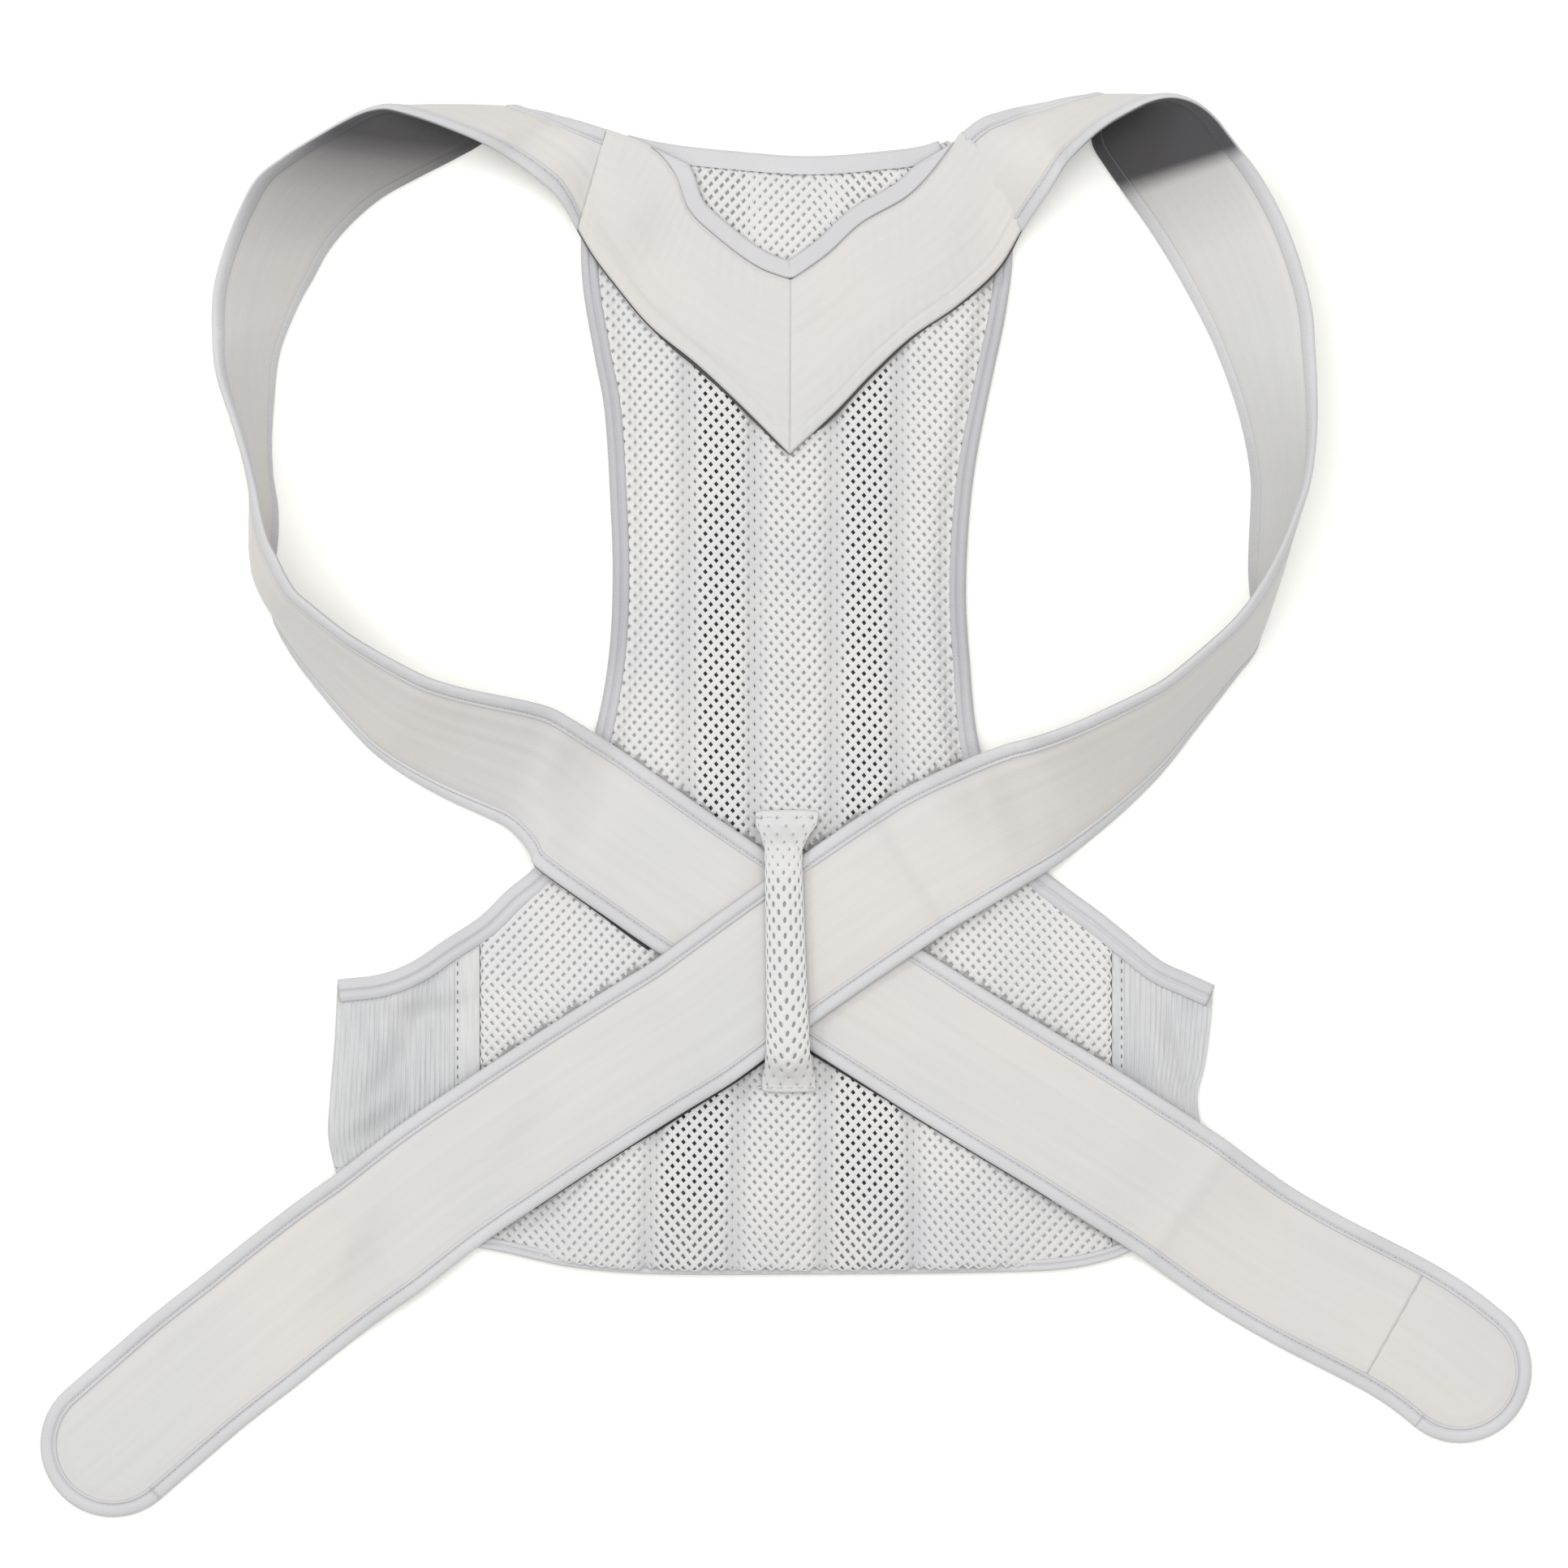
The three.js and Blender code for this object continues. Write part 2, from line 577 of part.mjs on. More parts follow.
// A thin wing stretch between two lines that run up the panel, with ribs where asked.
function wingStretch(edgeAt, seamX, sideLine, ribs) {
  const columns = ribs ? ribs * 2 : 2;
  const rows = [];
  for (let column = 0; column <= columns; column += 1) {
    const share = column / columns;
    const wave = column % 2 ? ELASTIC_RIB_HEIGHT : -ELASTIC_RIB_HEIGHT;
    const height = ELASTIC_THICKNESS + (ribs ? wave : 0);
    const foot = placeAt(bottomLimit, "x", "y", mix(edgeAt(0), seamX, share));
    const head = placeAt(sideLine, "x", "y", mix(edgeAt(1), seamX, share));
    const top = [];
    for (let row = 0; row <= WING_ROWS; row += 1) {
      const up = row / WING_ROWS;
      top.push(at(mix(edgeAt(up), seamX, share), mix(foot, head, up), height));
    }
    rows.push({ top, under: top.map((point) => point.clone().setZ(0)) });
  }
  return trimmed(slab(rows), bindingRoom);
}

function wings() {
  const endLine = (table) => {
    const line = smooth(planPoints(table), WING_END_STEPS);
    return (share) => placeAt(line, "y", "x", mix(line[line.length - 1].y, line[0].y, share));
  };
  const leftEnd = endLine(LEFT_WING_END);
  const rightEnd = endLine(RIGHT_WING_END);
  const ribs = Math.round(ELASTIC_WIDTH / ELASTIC_RIB_PITCH);
  const straight = (x) => () => x;
  const leftStripEnd = leftElasticEdge + SEAM_STRIP_WIDTH;
  const rightStripEnd = rightElasticEdge - RIGHT_SEAM_STRIP_WIDTH;
  const left = wingStretch(leftEnd, leftElasticEdge, leftPanelLimit, ribs);
  const leftStrip = wingStretch(straight(leftElasticEdge + CLEARANCE), leftStripEnd, leftPanelLimit, 0);
  const right = wingStretch(rightEnd, rightElasticEdge, rightPanelLimit, ribs);
  const rightStrip = wingStretch(straight(rightElasticEdge - CLEARANCE), rightStripEnd, rightPanelLimit, 0);
  return [
    piece("left_elastic_wing", left, COLOURS.elastic, 0.8),
    piece("left_seam_strip", leftStrip, COLOURS.binding, 0.8),
    piece("right_elastic_wing", right, COLOURS.elastic, 0.8),
    piece("right_seam_strip", rightStrip, COLOURS.binding, 0.8),
  ];
}

// The yoke

function yokeLines(table, shift) {
  const inner = table.map(([across, up]) => at(across * HALF_WAIST + shift, up * PANEL_LENGTH, 0));
  const outer = table.map(([, , across, up]) => at(across * HALF_WAIST + shift, up * PANEL_LENGTH, 0));
  return { inner, outer };
}

const leftYoke = yokeLines(LEFT_YOKE, -CLEARANCE / 2);
const rightYoke = yokeLines(RIGHT_YOKE, CLEARANCE / 2);

// An arm's edge as points, all of it or only as far as the row where it meets the neck.
function yokeEdge(points, rowsLeftOut) {
  const curve = new THREE.CatmullRomCurve3(points);
  const stepsPerRow = YOKE_STEPS / (points.length - 1);
  const count = YOKE_STEPS - rowsLeftOut * stepsPerRow;
  return Array.from({ length: count + 1 }, (_, step) => curve.getPoint(step / YOKE_STEPS));
}

function yokeArm(name, lines) {
  const parts = [0, 0.1, 0.35, 0.65, 0.9, 1];
  const outer = yokeEdge(lines.outer, 0);
  const rows = yokeEdge(lines.inner, 0).map((a, step) => {
    const top = parts.map((share) => {
      const dome = YOKE_DOME * (1 - (2 * share - 1) ** 4);
      return a.clone().lerp(outer[step], share).setZ(ON_PANEL + YOKE_THICKNESS - YOKE_DOME + dome);
    });
    return { top, under: top.map((point) => point.clone().setZ(ON_PANEL)) };
  });
  return piece(name, slab(rows), COLOURS.strap, 0.75);
}

function yokeBinding() {
  const left = yokeEdge(leftYoke.inner, 1).reverse();
  const right = yokeEdge(rightYoke.inner, 1);
  const seam = [...left, ...right];
  const near = beside(seam, () => CLEARANCE);
  const far = beside(seam, () => CLEARANCE + YOKE_BINDING_WIDTH);
  return piece("yoke_binding", band(near, far, ON_PANEL, ON_PANEL + YOKE_THICKNESS), COLOURS.binding, 0.7);
}

// The straps

// Rows of a strap from its tables: the middle in plan, the way across, the level and the bulge.
function strapRows(yoke, loop, onPanel, free, reach, side) {
  const yokeInner = yoke.inner[yoke.inner.length - 1];
  const yokeOuter = yoke.outer[yoke.outer.length - 1];
  const seamWay = yokeOuter.clone().sub(yokeInner);
  const away = at(seamWay.y, -seamWay.x, 0).normalize().multiplyScalar(side * CLEARANCE);
  const seamMiddle = yokeInner.clone().lerp(yokeOuter, 0.5).add(away);
  const rows = [{ middle: seamMiddle, across: seamWay, level: ON_PANEL, bulge: 0 }];
  for (const [x, y, acrossX, acrossY, rise, level, bulge] of loop) {
    rows.push({
      middle: at(x * LOOP_REACH, y * PANEL_LENGTH, 0),
      across: at(acrossX, acrossY, rise).multiplyScalar(STRAP_WIDTH),
      level,
      bulge,
    });
  }
  for (const [x, y, level] of onPanel) {
    rows.push({ middle: at(x * HALF_WING, y * PANEL_LENGTH, 0), level, bulge: 0 });
  }
  const start = rows[rows.length - 1].middle;
  for (const [x, y, level] of free) {
    rows.push({ middle: at(start.x + x * reach, start.y + y * reach, 0), level, bulge: 0 });
  }
  rows.forEach((row, index) => {
    if (row.across) return;
    const before = rows[index - 1].middle;
    const after = (rows[index + 1] ?? row).middle;
    const along = after.clone().sub(before).setZ(0).normalize();
    row.across = at(-along.y, along.x, 0).multiplyScalar(side * STRAP_WIDTH);
  });
  return rows;
}

// Sharp turns of the outward direction spread over their neighbours.
function evenOut(sections, passes) {
  for (let pass = 0; pass < passes; pass += 1) {
    const ways = sections.map((section) => section.out.clone());
    for (let index = 1; index + 1 < sections.length; index += 1) {
      sections[index].out.add(ways[index - 1]).add(ways[index + 1]).normalize();
    }
  }
}

// Even sections along a strap: centre, way across, outward direction and bulge.
function strapSections(rows, steps, side) {
  const through = (points) => new THREE.CatmullRomCurve3(points, false, "catmullrom", 0.5);
  const middles = through(rows.map((row) => row.middle));
  const ways = through(rows.map((row) => row.across));
  const between = (share, key) => {
    const place = share * (rows.length - 1);
    const index = Math.min(Math.floor(place), rows.length - 2);
    return mix(rows[index][key], rows[index + 1][key], place - index);
  };
  const sections = [];
  for (let step = 0; step <= steps; step += 1) {
    const share = step / steps;
    const across = ways.getPoint(share);
    const centre = middles.getPoint(share).setZ(between(share, "level") + Math.abs(across.z) / 2);
    sections.push({ centre, across, bulge: between(share, "bulge") });
  }
  sections.forEach((section, index) => {
    const before = sections[Math.max(index - 1, 0)].centre;
    const after = sections[Math.min(index + 1, sections.length - 1)].centre;
    section.along = after.clone().sub(before).normalize();
    if (index === 0) section.along.setZ(0).normalize();
    const out = new THREE.Vector3().crossVectors(section.along, section.across);
    section.out = out.multiplyScalar(side).normalize();
  });
  evenOut(sections, 3);
  for (const section of sections) {
    section.centre.z += (Math.abs(section.out.z) * STRAP_EDGE_THICKNESS) / 2;
  }
  return sections;
}

// The rounded end, as shrinking sections round the last one.
function roundEnd(section, radius, angles) {
  const half = section.across.clone().normalize();
  const along = section.along.clone().setZ(0).normalize();
  return angles.map((angle) => ({
    ...section,
    centre: section.centre.clone().addScaledVector(along, radius * Math.sin(angle)),
    across: half.clone().multiplyScalar(2 * radius * Math.cos(angle)),
    capped: true,
  }));
}

// A point of a strap, so far along its way across from the middle, and so far outward.
function strapPoint(section, offset, outward) {
  const length = section.across.length();
  const share = (2 * offset) / length;
  const bulge = section.bulge * STRAP_WIDTH * (1 - share * share);
  return section.centre
    .clone()
    .addScaledVector(section.across, offset / length)
    .addScaledVector(section.out, outward + bulge);
}

function strapSlab(sections, offsetsOf, thickness) {
  const rows = sections.map((section) => {
    const offsets = offsetsOf(section);
    return {
      top: offsets.map((offset) => strapPoint(section, offset, thickness / 2)),
      under: offsets.map((offset) => strapPoint(section, offset, -thickness / 2)),
    };
  });
  return slab(rows);
}

const END_ANGLES = [0.35, 0.7, 1.0, 1.25, 1.42];
const coreInset = STRAP_EDGE_WIDTH + EDGE_GAP;

const coreOffsets = (section) => {
  const half = section.across.length() / 2 - (section.capped ? 0 : coreInset);
  return [-half, -half / 3, half / 3, half];
};

// The edge binding on the arm side goes on round the free end to the outer edge.
function armBinding(sections) {
  const last = sections[sections.length - 1];
  const along = last.along.clone().setZ(0).normalize();
  const half = last.across.clone().normalize();
  const outerRadius = STRAP_WIDTH / 2;
  const innerRadius = outerRadius - STRAP_EDGE_WIDTH;
  const rows = sections.map((section) => {
    const edge = section.across.length() / 2;
    const offsets = [edge - STRAP_EDGE_WIDTH, edge];
    return {
      top: offsets.map((offset) => strapPoint(section, offset, STRAP_EDGE_THICKNESS / 2)),
      under: offsets.map((offset) => strapPoint(section, offset, -STRAP_EDGE_THICKNESS / 2)),
    };
  });
  for (let turn = 1; turn <= END_TURNS; turn += 1) {
    const angle = (Math.PI * turn) / END_TURNS;
    const way = half.clone().multiplyScalar(Math.cos(angle)).addScaledVector(along, Math.sin(angle));
    const corner = (radius, outward) =>
      last.centre.clone().addScaledVector(way, radius).addScaledVector(last.out, outward);
    rows.push({
      top: [innerRadius, outerRadius].map((radius) => corner(radius, STRAP_EDGE_THICKNESS / 2)),
      under: [innerRadius, outerRadius].map((radius) => corner(radius, -STRAP_EDGE_THICKNESS / 2)),
    });
  }
  return slab(rows);
}

function outerBinding(sections) {
  const shortened = sections.slice();
  const last = sections[sections.length - 1];
  shortened[shortened.length - 1] = {
    ...last,
    centre: last.centre.clone().addScaledVector(last.along, -CLEARANCE),
  };
  const offsets = (section) => {
    const edge = section.across.length() / 2;
    return [-edge, STRAP_EDGE_WIDTH - edge];
  };
  return strapSlab(shortened, offsets, STRAP_EDGE_THICKNESS);
}

// A strap's sections before and after a seam that lies so far back from the last one.
function splitFromEnd(sections, distance) {
  let index = sections.length - 1;
  let left = distance;
  let step = sections[index].centre.distanceTo(sections[index - 1].centre);
  while (left > step) {
    left -= step;
    index -= 1;
    step = sections[index].centre.distanceTo(sections[index - 1].centre);
  }
  const share = left / step;
  const seam = { ...sections[index] };
  for (const key of ["centre", "across", "out"]) {
    seam[key] = sections[index][key].clone().lerp(sections[index - 1][key], share);
  }
  return [
    [...sections.slice(0, index), seam],
    [seam, ...sections.slice(index)],
  ];
}

function strap(name, rows, side, patched) {
  const sections = strapSections(rows, STRAP_STEPS, side);
  const last = sections[sections.length - 1];
  const end = roundEnd(last, STRAP_WIDTH / 2 - coreInset, END_ANGLES);
  const core = (part) => strapSlab(part, coreOffsets, STRAP_THICKNESS);
  const pieces = [
    piece(`${name}_arm_binding`, armBinding(sections), COLOURS.binding, 0.7),
    piece(`${name}_outer_binding`, outerBinding(sections), COLOURS.binding, 0.7),
  ];
  if (!patched) return [piece(name, core([...sections, ...end]), COLOURS.strap, 0.75), ...pieces];
  const [body] = splitFromEnd(sections, STRAP_PATCH_LENGTH + CLEARANCE);
  const [, beyondSeam] = splitFromEnd(sections, STRAP_PATCH_LENGTH);
  return [
    piece(name, core(body), COLOURS.strap, 0.75),
    piece(`${name}_end_patch`, core([...beyondSeam, ...end]), COLOURS.binding, 0.85),
    ...pieces,
  ];
}

// The keeper loop over the crossing

function keeper() {
  const angles = [0, 0.2, 0.5, 0.8, 1].map((share) => Math.PI * (1 - share));
  const rows = KEEPER.map(([up, width, height, level]) => {
    const bottom = mix(ON_PANEL, ON_CROSSING, level);
    const half = (KEEPER_WIDTH * width) / 2;
    const rise = (KEEPER_HEIGHT * height) / 2;
    const point = (angle, sign) => {
      const x = KEEPER_MIDDLE * HALF_WING + Math.cos(angle) * half;
      const lift = Math.max(Math.sin(angle), KEEPER_FLATNESS) * rise * sign;
      return at(x, up * PANEL_LENGTH, bottom + rise + lift);
    };
    return {
      top: angles.map((angle) => point(angle, 1)),
      under: angles.map((angle) => point(angle, -1)),
    };
  });
  return piece("keeper_loop", slab(rows), COLOURS.keeper, 0.9);
}

// The whole object, moved so that the table is at zero under the middle of its outline

const leftRows = strapRows(leftYoke, LEFT_LOOP, LEFT_STRAP_ON_PANEL, LEFT_STRAP_FREE, LEFT_STRAP_END, 1);
const rightRows = strapRows(
  rightYoke,
  RIGHT_LOOP,
  RIGHT_STRAP_ON_PANEL,
  RIGHT_STRAP_FREE,
  RIGHT_STRAP_END,
  -1,
);

const group = new THREE.Group();
group.add(
  backPanel(),
  ...wings(),
  ...bindings(),
  yokeArm("yoke_left", leftYoke),
  yokeArm("yoke_right", rightYoke),
  yokeBinding(),
  ...strap("left_strap", leftRows, 1, true),
  ...strap("right_strap", rightRows, -1, false),
  keeper(),
);
const box = new THREE.Box3().setFromObject(group);
const middle = box.getCenter(new THREE.Vector3());
group.position.set(-middle.x, -middle.y, -box.min.z);

export default group;
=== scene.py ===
# %% [markdown]
# # A posture corrector, lying flat with the outside of its back panel up
# The real thing is sewn: a padded panel of spacer mesh with bound edges, two brushed straps that
# run from a V-shaped yoke round the arms and cross under a knitted keeper loop, and two elastic
# wings. The CAD model already gives the place of every piece. Each cell below takes one piece,
# follows the same lines as the CAD, and adds what cloth has: folds, seams, holes and thread.

import math

import bmesh
import bpy
import numpy as np
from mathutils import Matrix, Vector


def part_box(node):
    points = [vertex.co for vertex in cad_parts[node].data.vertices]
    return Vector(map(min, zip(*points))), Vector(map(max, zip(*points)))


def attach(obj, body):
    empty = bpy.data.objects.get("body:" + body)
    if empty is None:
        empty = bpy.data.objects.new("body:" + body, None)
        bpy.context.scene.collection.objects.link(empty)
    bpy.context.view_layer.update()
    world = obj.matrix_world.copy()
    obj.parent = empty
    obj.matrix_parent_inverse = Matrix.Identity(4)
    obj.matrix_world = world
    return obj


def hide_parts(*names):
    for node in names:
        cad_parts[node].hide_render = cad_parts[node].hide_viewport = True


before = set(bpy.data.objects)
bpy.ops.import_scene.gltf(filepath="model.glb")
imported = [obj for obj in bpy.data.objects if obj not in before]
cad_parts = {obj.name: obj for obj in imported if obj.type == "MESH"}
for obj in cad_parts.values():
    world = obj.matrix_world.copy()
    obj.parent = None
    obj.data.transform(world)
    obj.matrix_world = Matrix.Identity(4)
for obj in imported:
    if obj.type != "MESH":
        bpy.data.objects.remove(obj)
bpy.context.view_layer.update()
scene = bpy.context.scene
print("nodes:", ", ".join(sorted(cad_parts)))

# %% [markdown]
# ## Sizes
# Everything is drawn in millimetres in the pattern maker's own frame, whose zero is at the lower
# edge of the panel on its middle line. One shift then carries a finished piece to the CAD frame.
# The names and tables are those of the CAD model, so a piece lies where its solid does.

# %% The sizes of the corrector, in millimetres
PANEL_LENGTH = 440
HALF_WAIST = 69.5
HALF_WING = 173.5
LOOP_REACH = 226
LEFT_STRAP_END = 108
RIGHT_STRAP_END = 101
STRAP_WIDTH = 57
TAPE_WIDTH = 6.4
TAPE_THICKNESS = 3.4
END_PATCH_LENGTH = 32
PANEL_THICKNESS = 8
WING_THICKNESS = 4
ELASTIC_THICKNESS = 3
ELASTIC_WIDTH = 46
SEAM_STRIP_WIDTH = 9
RIGHT_SEAM_STRIP_WIDTH = 4
SIDE_TAPE_WIDTH = 6.7
WING_TAPE_WIDTH = 9
BOTTOM_TAPE_WIDTH = 5
NECK_TAPE_WIDTH = 8
SIDE_TAPE_THICKNESS = 5
GAP = 0.35
ON_TABLE = 0
ON_WING = SIDE_TAPE_THICKNESS + GAP
ON_PANEL = PANEL_THICKNESS + GAP
ON_STRAP = ON_PANEL + TAPE_THICKNESS + GAP
ON_CROSSING = ON_STRAP + TAPE_THICKNESS + GAP

# %% [markdown]
# ## Smooth lines through a few chosen points
# A pattern maker pins a few points and lets a flexible ruler find the line between them. The
# Catmull-Rom curve does the same. It is also what the CAD model uses, so both give one line.

# %% Curves through pinned points
def part_of_curve(p0, p1, p2, p3, t, spaced):
    """A point on the part from p1 to p2. Spaced curves allow for uneven distances."""
    if spaced:
        d0, d1, d2 = (max(np.linalg.norm(b - a) ** 0.5, 1e-6) for a, b in ((p0, p1), (p1, p2), (p2, p3)))
        start = ((p1 - p0) / d0 - (p2 - p0) / (d0 + d1) + (p2 - p1) / d1) * d1
        end = ((p2 - p1) / d1 - (p3 - p1) / (d1 + d2) + (p3 - p2) / d2) * d1
    else:
        start, end = (p2 - p0) / 2, (p3 - p1) / 2
    t = np.asarray(t)[:, None]
    t2, t3 = t * t, t * t * t
    return (2 * t3 - 3 * t2 + 1) * p1 + (t3 - 2 * t2 + t) * start + (3 * t2 - 2 * t3) * p2 + (t3 - t2) * end


def curve_at(points, places, spaced=True):
    """Points of the curve at places counted in pinned points: 2.5 is halfway from 2 to 3."""
    points = np.asarray(points, float)
    padded = np.vstack([2 * points[0] - points[1], points, 2 * points[-1] - points[-2]])
    places = np.asarray(places, float)
    index = np.clip(places.astype(int), 0, len(points) - 2)
    result = np.empty((len(places), points.shape[1]))
    for part in np.unique(index):
        here = index == part
        result[here] = part_of_curve(*padded[part : part + 4], places[here] - part, spaced)
    return result


def even_steps(line, steps):
    """The same line as so many even steps."""
    walked = np.concatenate([[0], np.cumsum(np.linalg.norm(np.diff(line, axis=0), axis=1))])
    wanted = np.linspace(0, walked[-1], steps + 1)
    return np.column_stack([np.interp(wanted, walked, column) for column in line.T])


def smooth_line(points, steps):
    dense = curve_at(points, np.linspace(0, len(points) - 1, 40 * (len(points) - 1) + 1))
    return even_steps(dense, steps)


def unit(vectors):
    return vectors / np.maximum(np.linalg.norm(vectors, axis=-1, keepdims=True), 1e-9)


def ahead(line):
    """The way that the line runs, at each of its points."""
    way = np.empty_like(line)
    way[1:-1] = line[2:] - line[:-2]
    way[0], way[-1] = line[1] - line[0], line[-1] - line[-2]
    return unit(way)


def beside(line, distance):
    """A line in plan moved sideways, to its left where the distance is positive."""
    way = ahead(line[:, :2])
    moved = line.copy()
    moved[:, 0] -= way[:, 1] * distance
    moved[:, 1] += way[:, 0] * distance
    return moved


def ramp(value, low, high):
    """0 below low, 1 above high, with soft ends between them."""
    share = np.clip((np.asarray(value, float) - low) / (high - low), 0, 1)
    return share * share * (3 - 2 * share)


# %% [markdown]
# ## The outlines of the panel
# Each point is given as a share: across as a share of the half waist or half wing span, and up as
# a share of the panel's length. The lines are the outer edges of the bindings.

# %% The panel's outlines
LEFT_SIDE_AT_WAIST = [
    (-1.048, 1.018), (-1.14, 0.977), (-1.168, 0.93), (-1.159, 0.885), (-1.094, 0.823),
    (-1.039, 0.777), (-1.002, 0.69), (-0.989, 0.622), (-1.011, 0.553),
]
LEFT_SIDE_AT_WING = [
    (-0.435, 0.487), (-0.494, 0.414), (-0.569, 0.366), (-0.635, 0.344), (-0.698, 0.32),
    (-0.779, 0.299), (-0.851, 0.28), (-0.921, 0.269), (-1.02, 0.264),
]
RIGHT_SIDE_AT_WAIST = [
    (0.984, 1.017), (1.172, 0.984), (1.269, 0.944), (1.274, 0.908), (1.228, 0.853),
    (1.168, 0.808), (1.071, 0.731), (1.03, 0.678), (1.011, 0.609), (1.03, 0.553),
]
RIGHT_SIDE_AT_WING = [
    (0.436, 0.471), (0.497, 0.407), (0.58, 0.363), (0.634, 0.346), (0.707, 0.325),
    (0.783, 0.301), (0.851, 0.28), (0.912, 0.269), (0.969, 0.259),
]
BOTTOM_EDGE = [
    (-1.026, 0.094), (-0.976, 0.054), (-0.856, 0.032), (-0.672, 0.022), (-0.497, 0.007),
    (-0.343, 0.001), (0.02, 0), (0.484, 0.002), (0.61, 0.004), (0.692, 0.009),
    (0.775, 0.02), (0.866, 0.048), (0.917, 0.091), (0.936, 0.134),
]
LEFT_WING_END = [(-1.02, 0.264), (-1.026, 0.214), (-1.037, 0.16), (-1.041, 0.123), (-1.026, 0.094)]
RIGHT_WING_END = [(0.965, 0.259), (0.961, 0.232), (0.947, 0.189), (0.93, 0.16), (0.936, 0.134)]
NECK_EDGE = [
    (-1.021, 1.024), (-0.708, 1.012), (-0.267, 1.004), (0.124, 1), (0.51, 1.004),
    (0.782, 1.01), (0.966, 1.022),
]


def in_plan(table, size):
    return [(across * size, up * PANEL_LENGTH) for across, up in table]


def panel_side(at_waist, at_wing):
    return smooth_line(in_plan(at_waist, HALF_WAIST) + in_plan(at_wing, HALF_WING), SIDE_STEPS)


SIDE_STEPS = 240
left_side = panel_side(LEFT_SIDE_AT_WAIST, LEFT_SIDE_AT_WING)
right_side = panel_side(RIGHT_SIDE_AT_WAIST, RIGHT_SIDE_AT_WING)
bottom_edge = smooth_line(in_plan(BOTTOM_EDGE, HALF_WING), 220)
neck_edge = smooth_line(in_plan(NECK_EDGE, HALF_WAIST), 96)
left_end = smooth_line(in_plan(LEFT_WING_END, HALF_WING), 48)
right_end = smooth_line(in_plan(RIGHT_WING_END, HALF_WING), 48)

# The shift from the pattern's zero to the CAD frame, read off one solid that both draw alike.
lowest = min(left_side[:, 1].min(), beside(left_side, WING_TAPE_WIDTH)[:, 1].min())
corner = np.array(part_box("left_side_binding")[0]) * 1000
SHIFT = corner - np.array([left_side[:, 0].min(), lowest, 0])
print("shift to the CAD frame, mm:", SHIFT.round(2))

# %% [markdown]
# ## Meshes from rings
# Straps, tapes and the keeper are all the same kind of shape: one cross-section carried along a
# path. A loft joins ring after ring with quads and closes both ends, so each piece is a closed
# body. The length walked and the place across are kept as a UV map, which cloth patterns follow.

# %% Closed pieces from rings of points
def new_piece(name, points, faces, smooth=True):
    mesh = bpy.data.meshes.new(name)
    mesh.from_pydata(((np.asarray(points) + SHIFT) * 0.001).tolist(), [], faces)
    mesh.update()
    if smooth:
        mesh.shade_smooth()
    piece = bpy.data.objects.new(name, mesh)
    scene.collection.objects.link(piece)
    return piece


def keep_uv(piece, along, across):
    """A UV map in metres from one value along and one across for each point."""
    layer = piece.data.uv_layers.new(name="cloth")
    corner_points = np.empty(len(piece.data.loops), int)
    piece.data.loops.foreach_get("vertex_index", corner_points)
    both = np.column_stack([np.ravel(along), np.ravel(across)])[corner_points] * 0.001
    layer.data.foreach_set("uv", both.astype(np.float32).ravel())


def keep_value(piece, name, values, domain="POINT"):
    attribute = piece.data.attributes.new(name, "FLOAT", domain)
    attribute.data.foreach_set("value", np.ravel(values).astype(np.float32))


def ring_faces(rings, around, paired_ends=False):
    """The quads between rings and an end face on each side, all facing outward."""
    index = np.arange(rings * around).reshape(rings, around)
    here, there = index[:-1], index[1:]
    quads = np.stack([here, np.roll(here, -1, 1), np.roll(there, -1, 1), there], -1).reshape(-1, 4)
    ends = [index[0][::-1].tolist(), index[-1].tolist()]
    if paired_ends:
        # Quads from the upper row to the lower one follow an end that is curved in plan.
        upper, lower = index[:, : around // 2], index[:, : around // 2 - 1 : -1]
        first = np.stack([upper[0][:-1], upper[0][1:], lower[0][1:], lower[0][:-1]], -1)[:, ::-1]
        final = np.stack([upper[-1][:-1], upper[-1][1:], lower[-1][1:], lower[-1][:-1]], -1)
        ends = first.tolist() + final.tolist()
    return quads.tolist() + ends


def loft(name, rings, across, paired_ends=False):
    """A closed piece through rings of shape (rings, around, 3)."""
    rings = np.asarray(rings, float)
    faces = ring_faces(rings.shape[0], rings.shape[1], paired_ends)
    middle = rings.mean(1)
    walked = np.concatenate([[0], np.cumsum(np.linalg.norm(np.diff(middle, axis=0), axis=1))])
    points = rings.reshape(-1, 3)
    first = rings[len(rings) // 2]
    area = np.cross(first - first[0], np.roll(first, -1, 0) - first[0]).sum(0)
    if np.dot(area, ahead(middle)[len(rings) // 2]) < 0:
        faces = [face[::-1] for face in faces]
    piece = new_piece(name, points, faces)
    keep_uv(piece, np.repeat(walked, rings.shape[1]), np.broadcast_to(across, rings.shape[:2]))
    return piece


pieces = {}

# %% [markdown]
# ## The straps' path
# A strap leaves the yoke, stands up on edge round the arm, lies down on the panel, crosses its
# twin and runs out past the wing. It is pinned by rows: the middle in plan, the way across from
# the outer edge to the arm edge, the level of the lowest edge and how far the middle bulges.

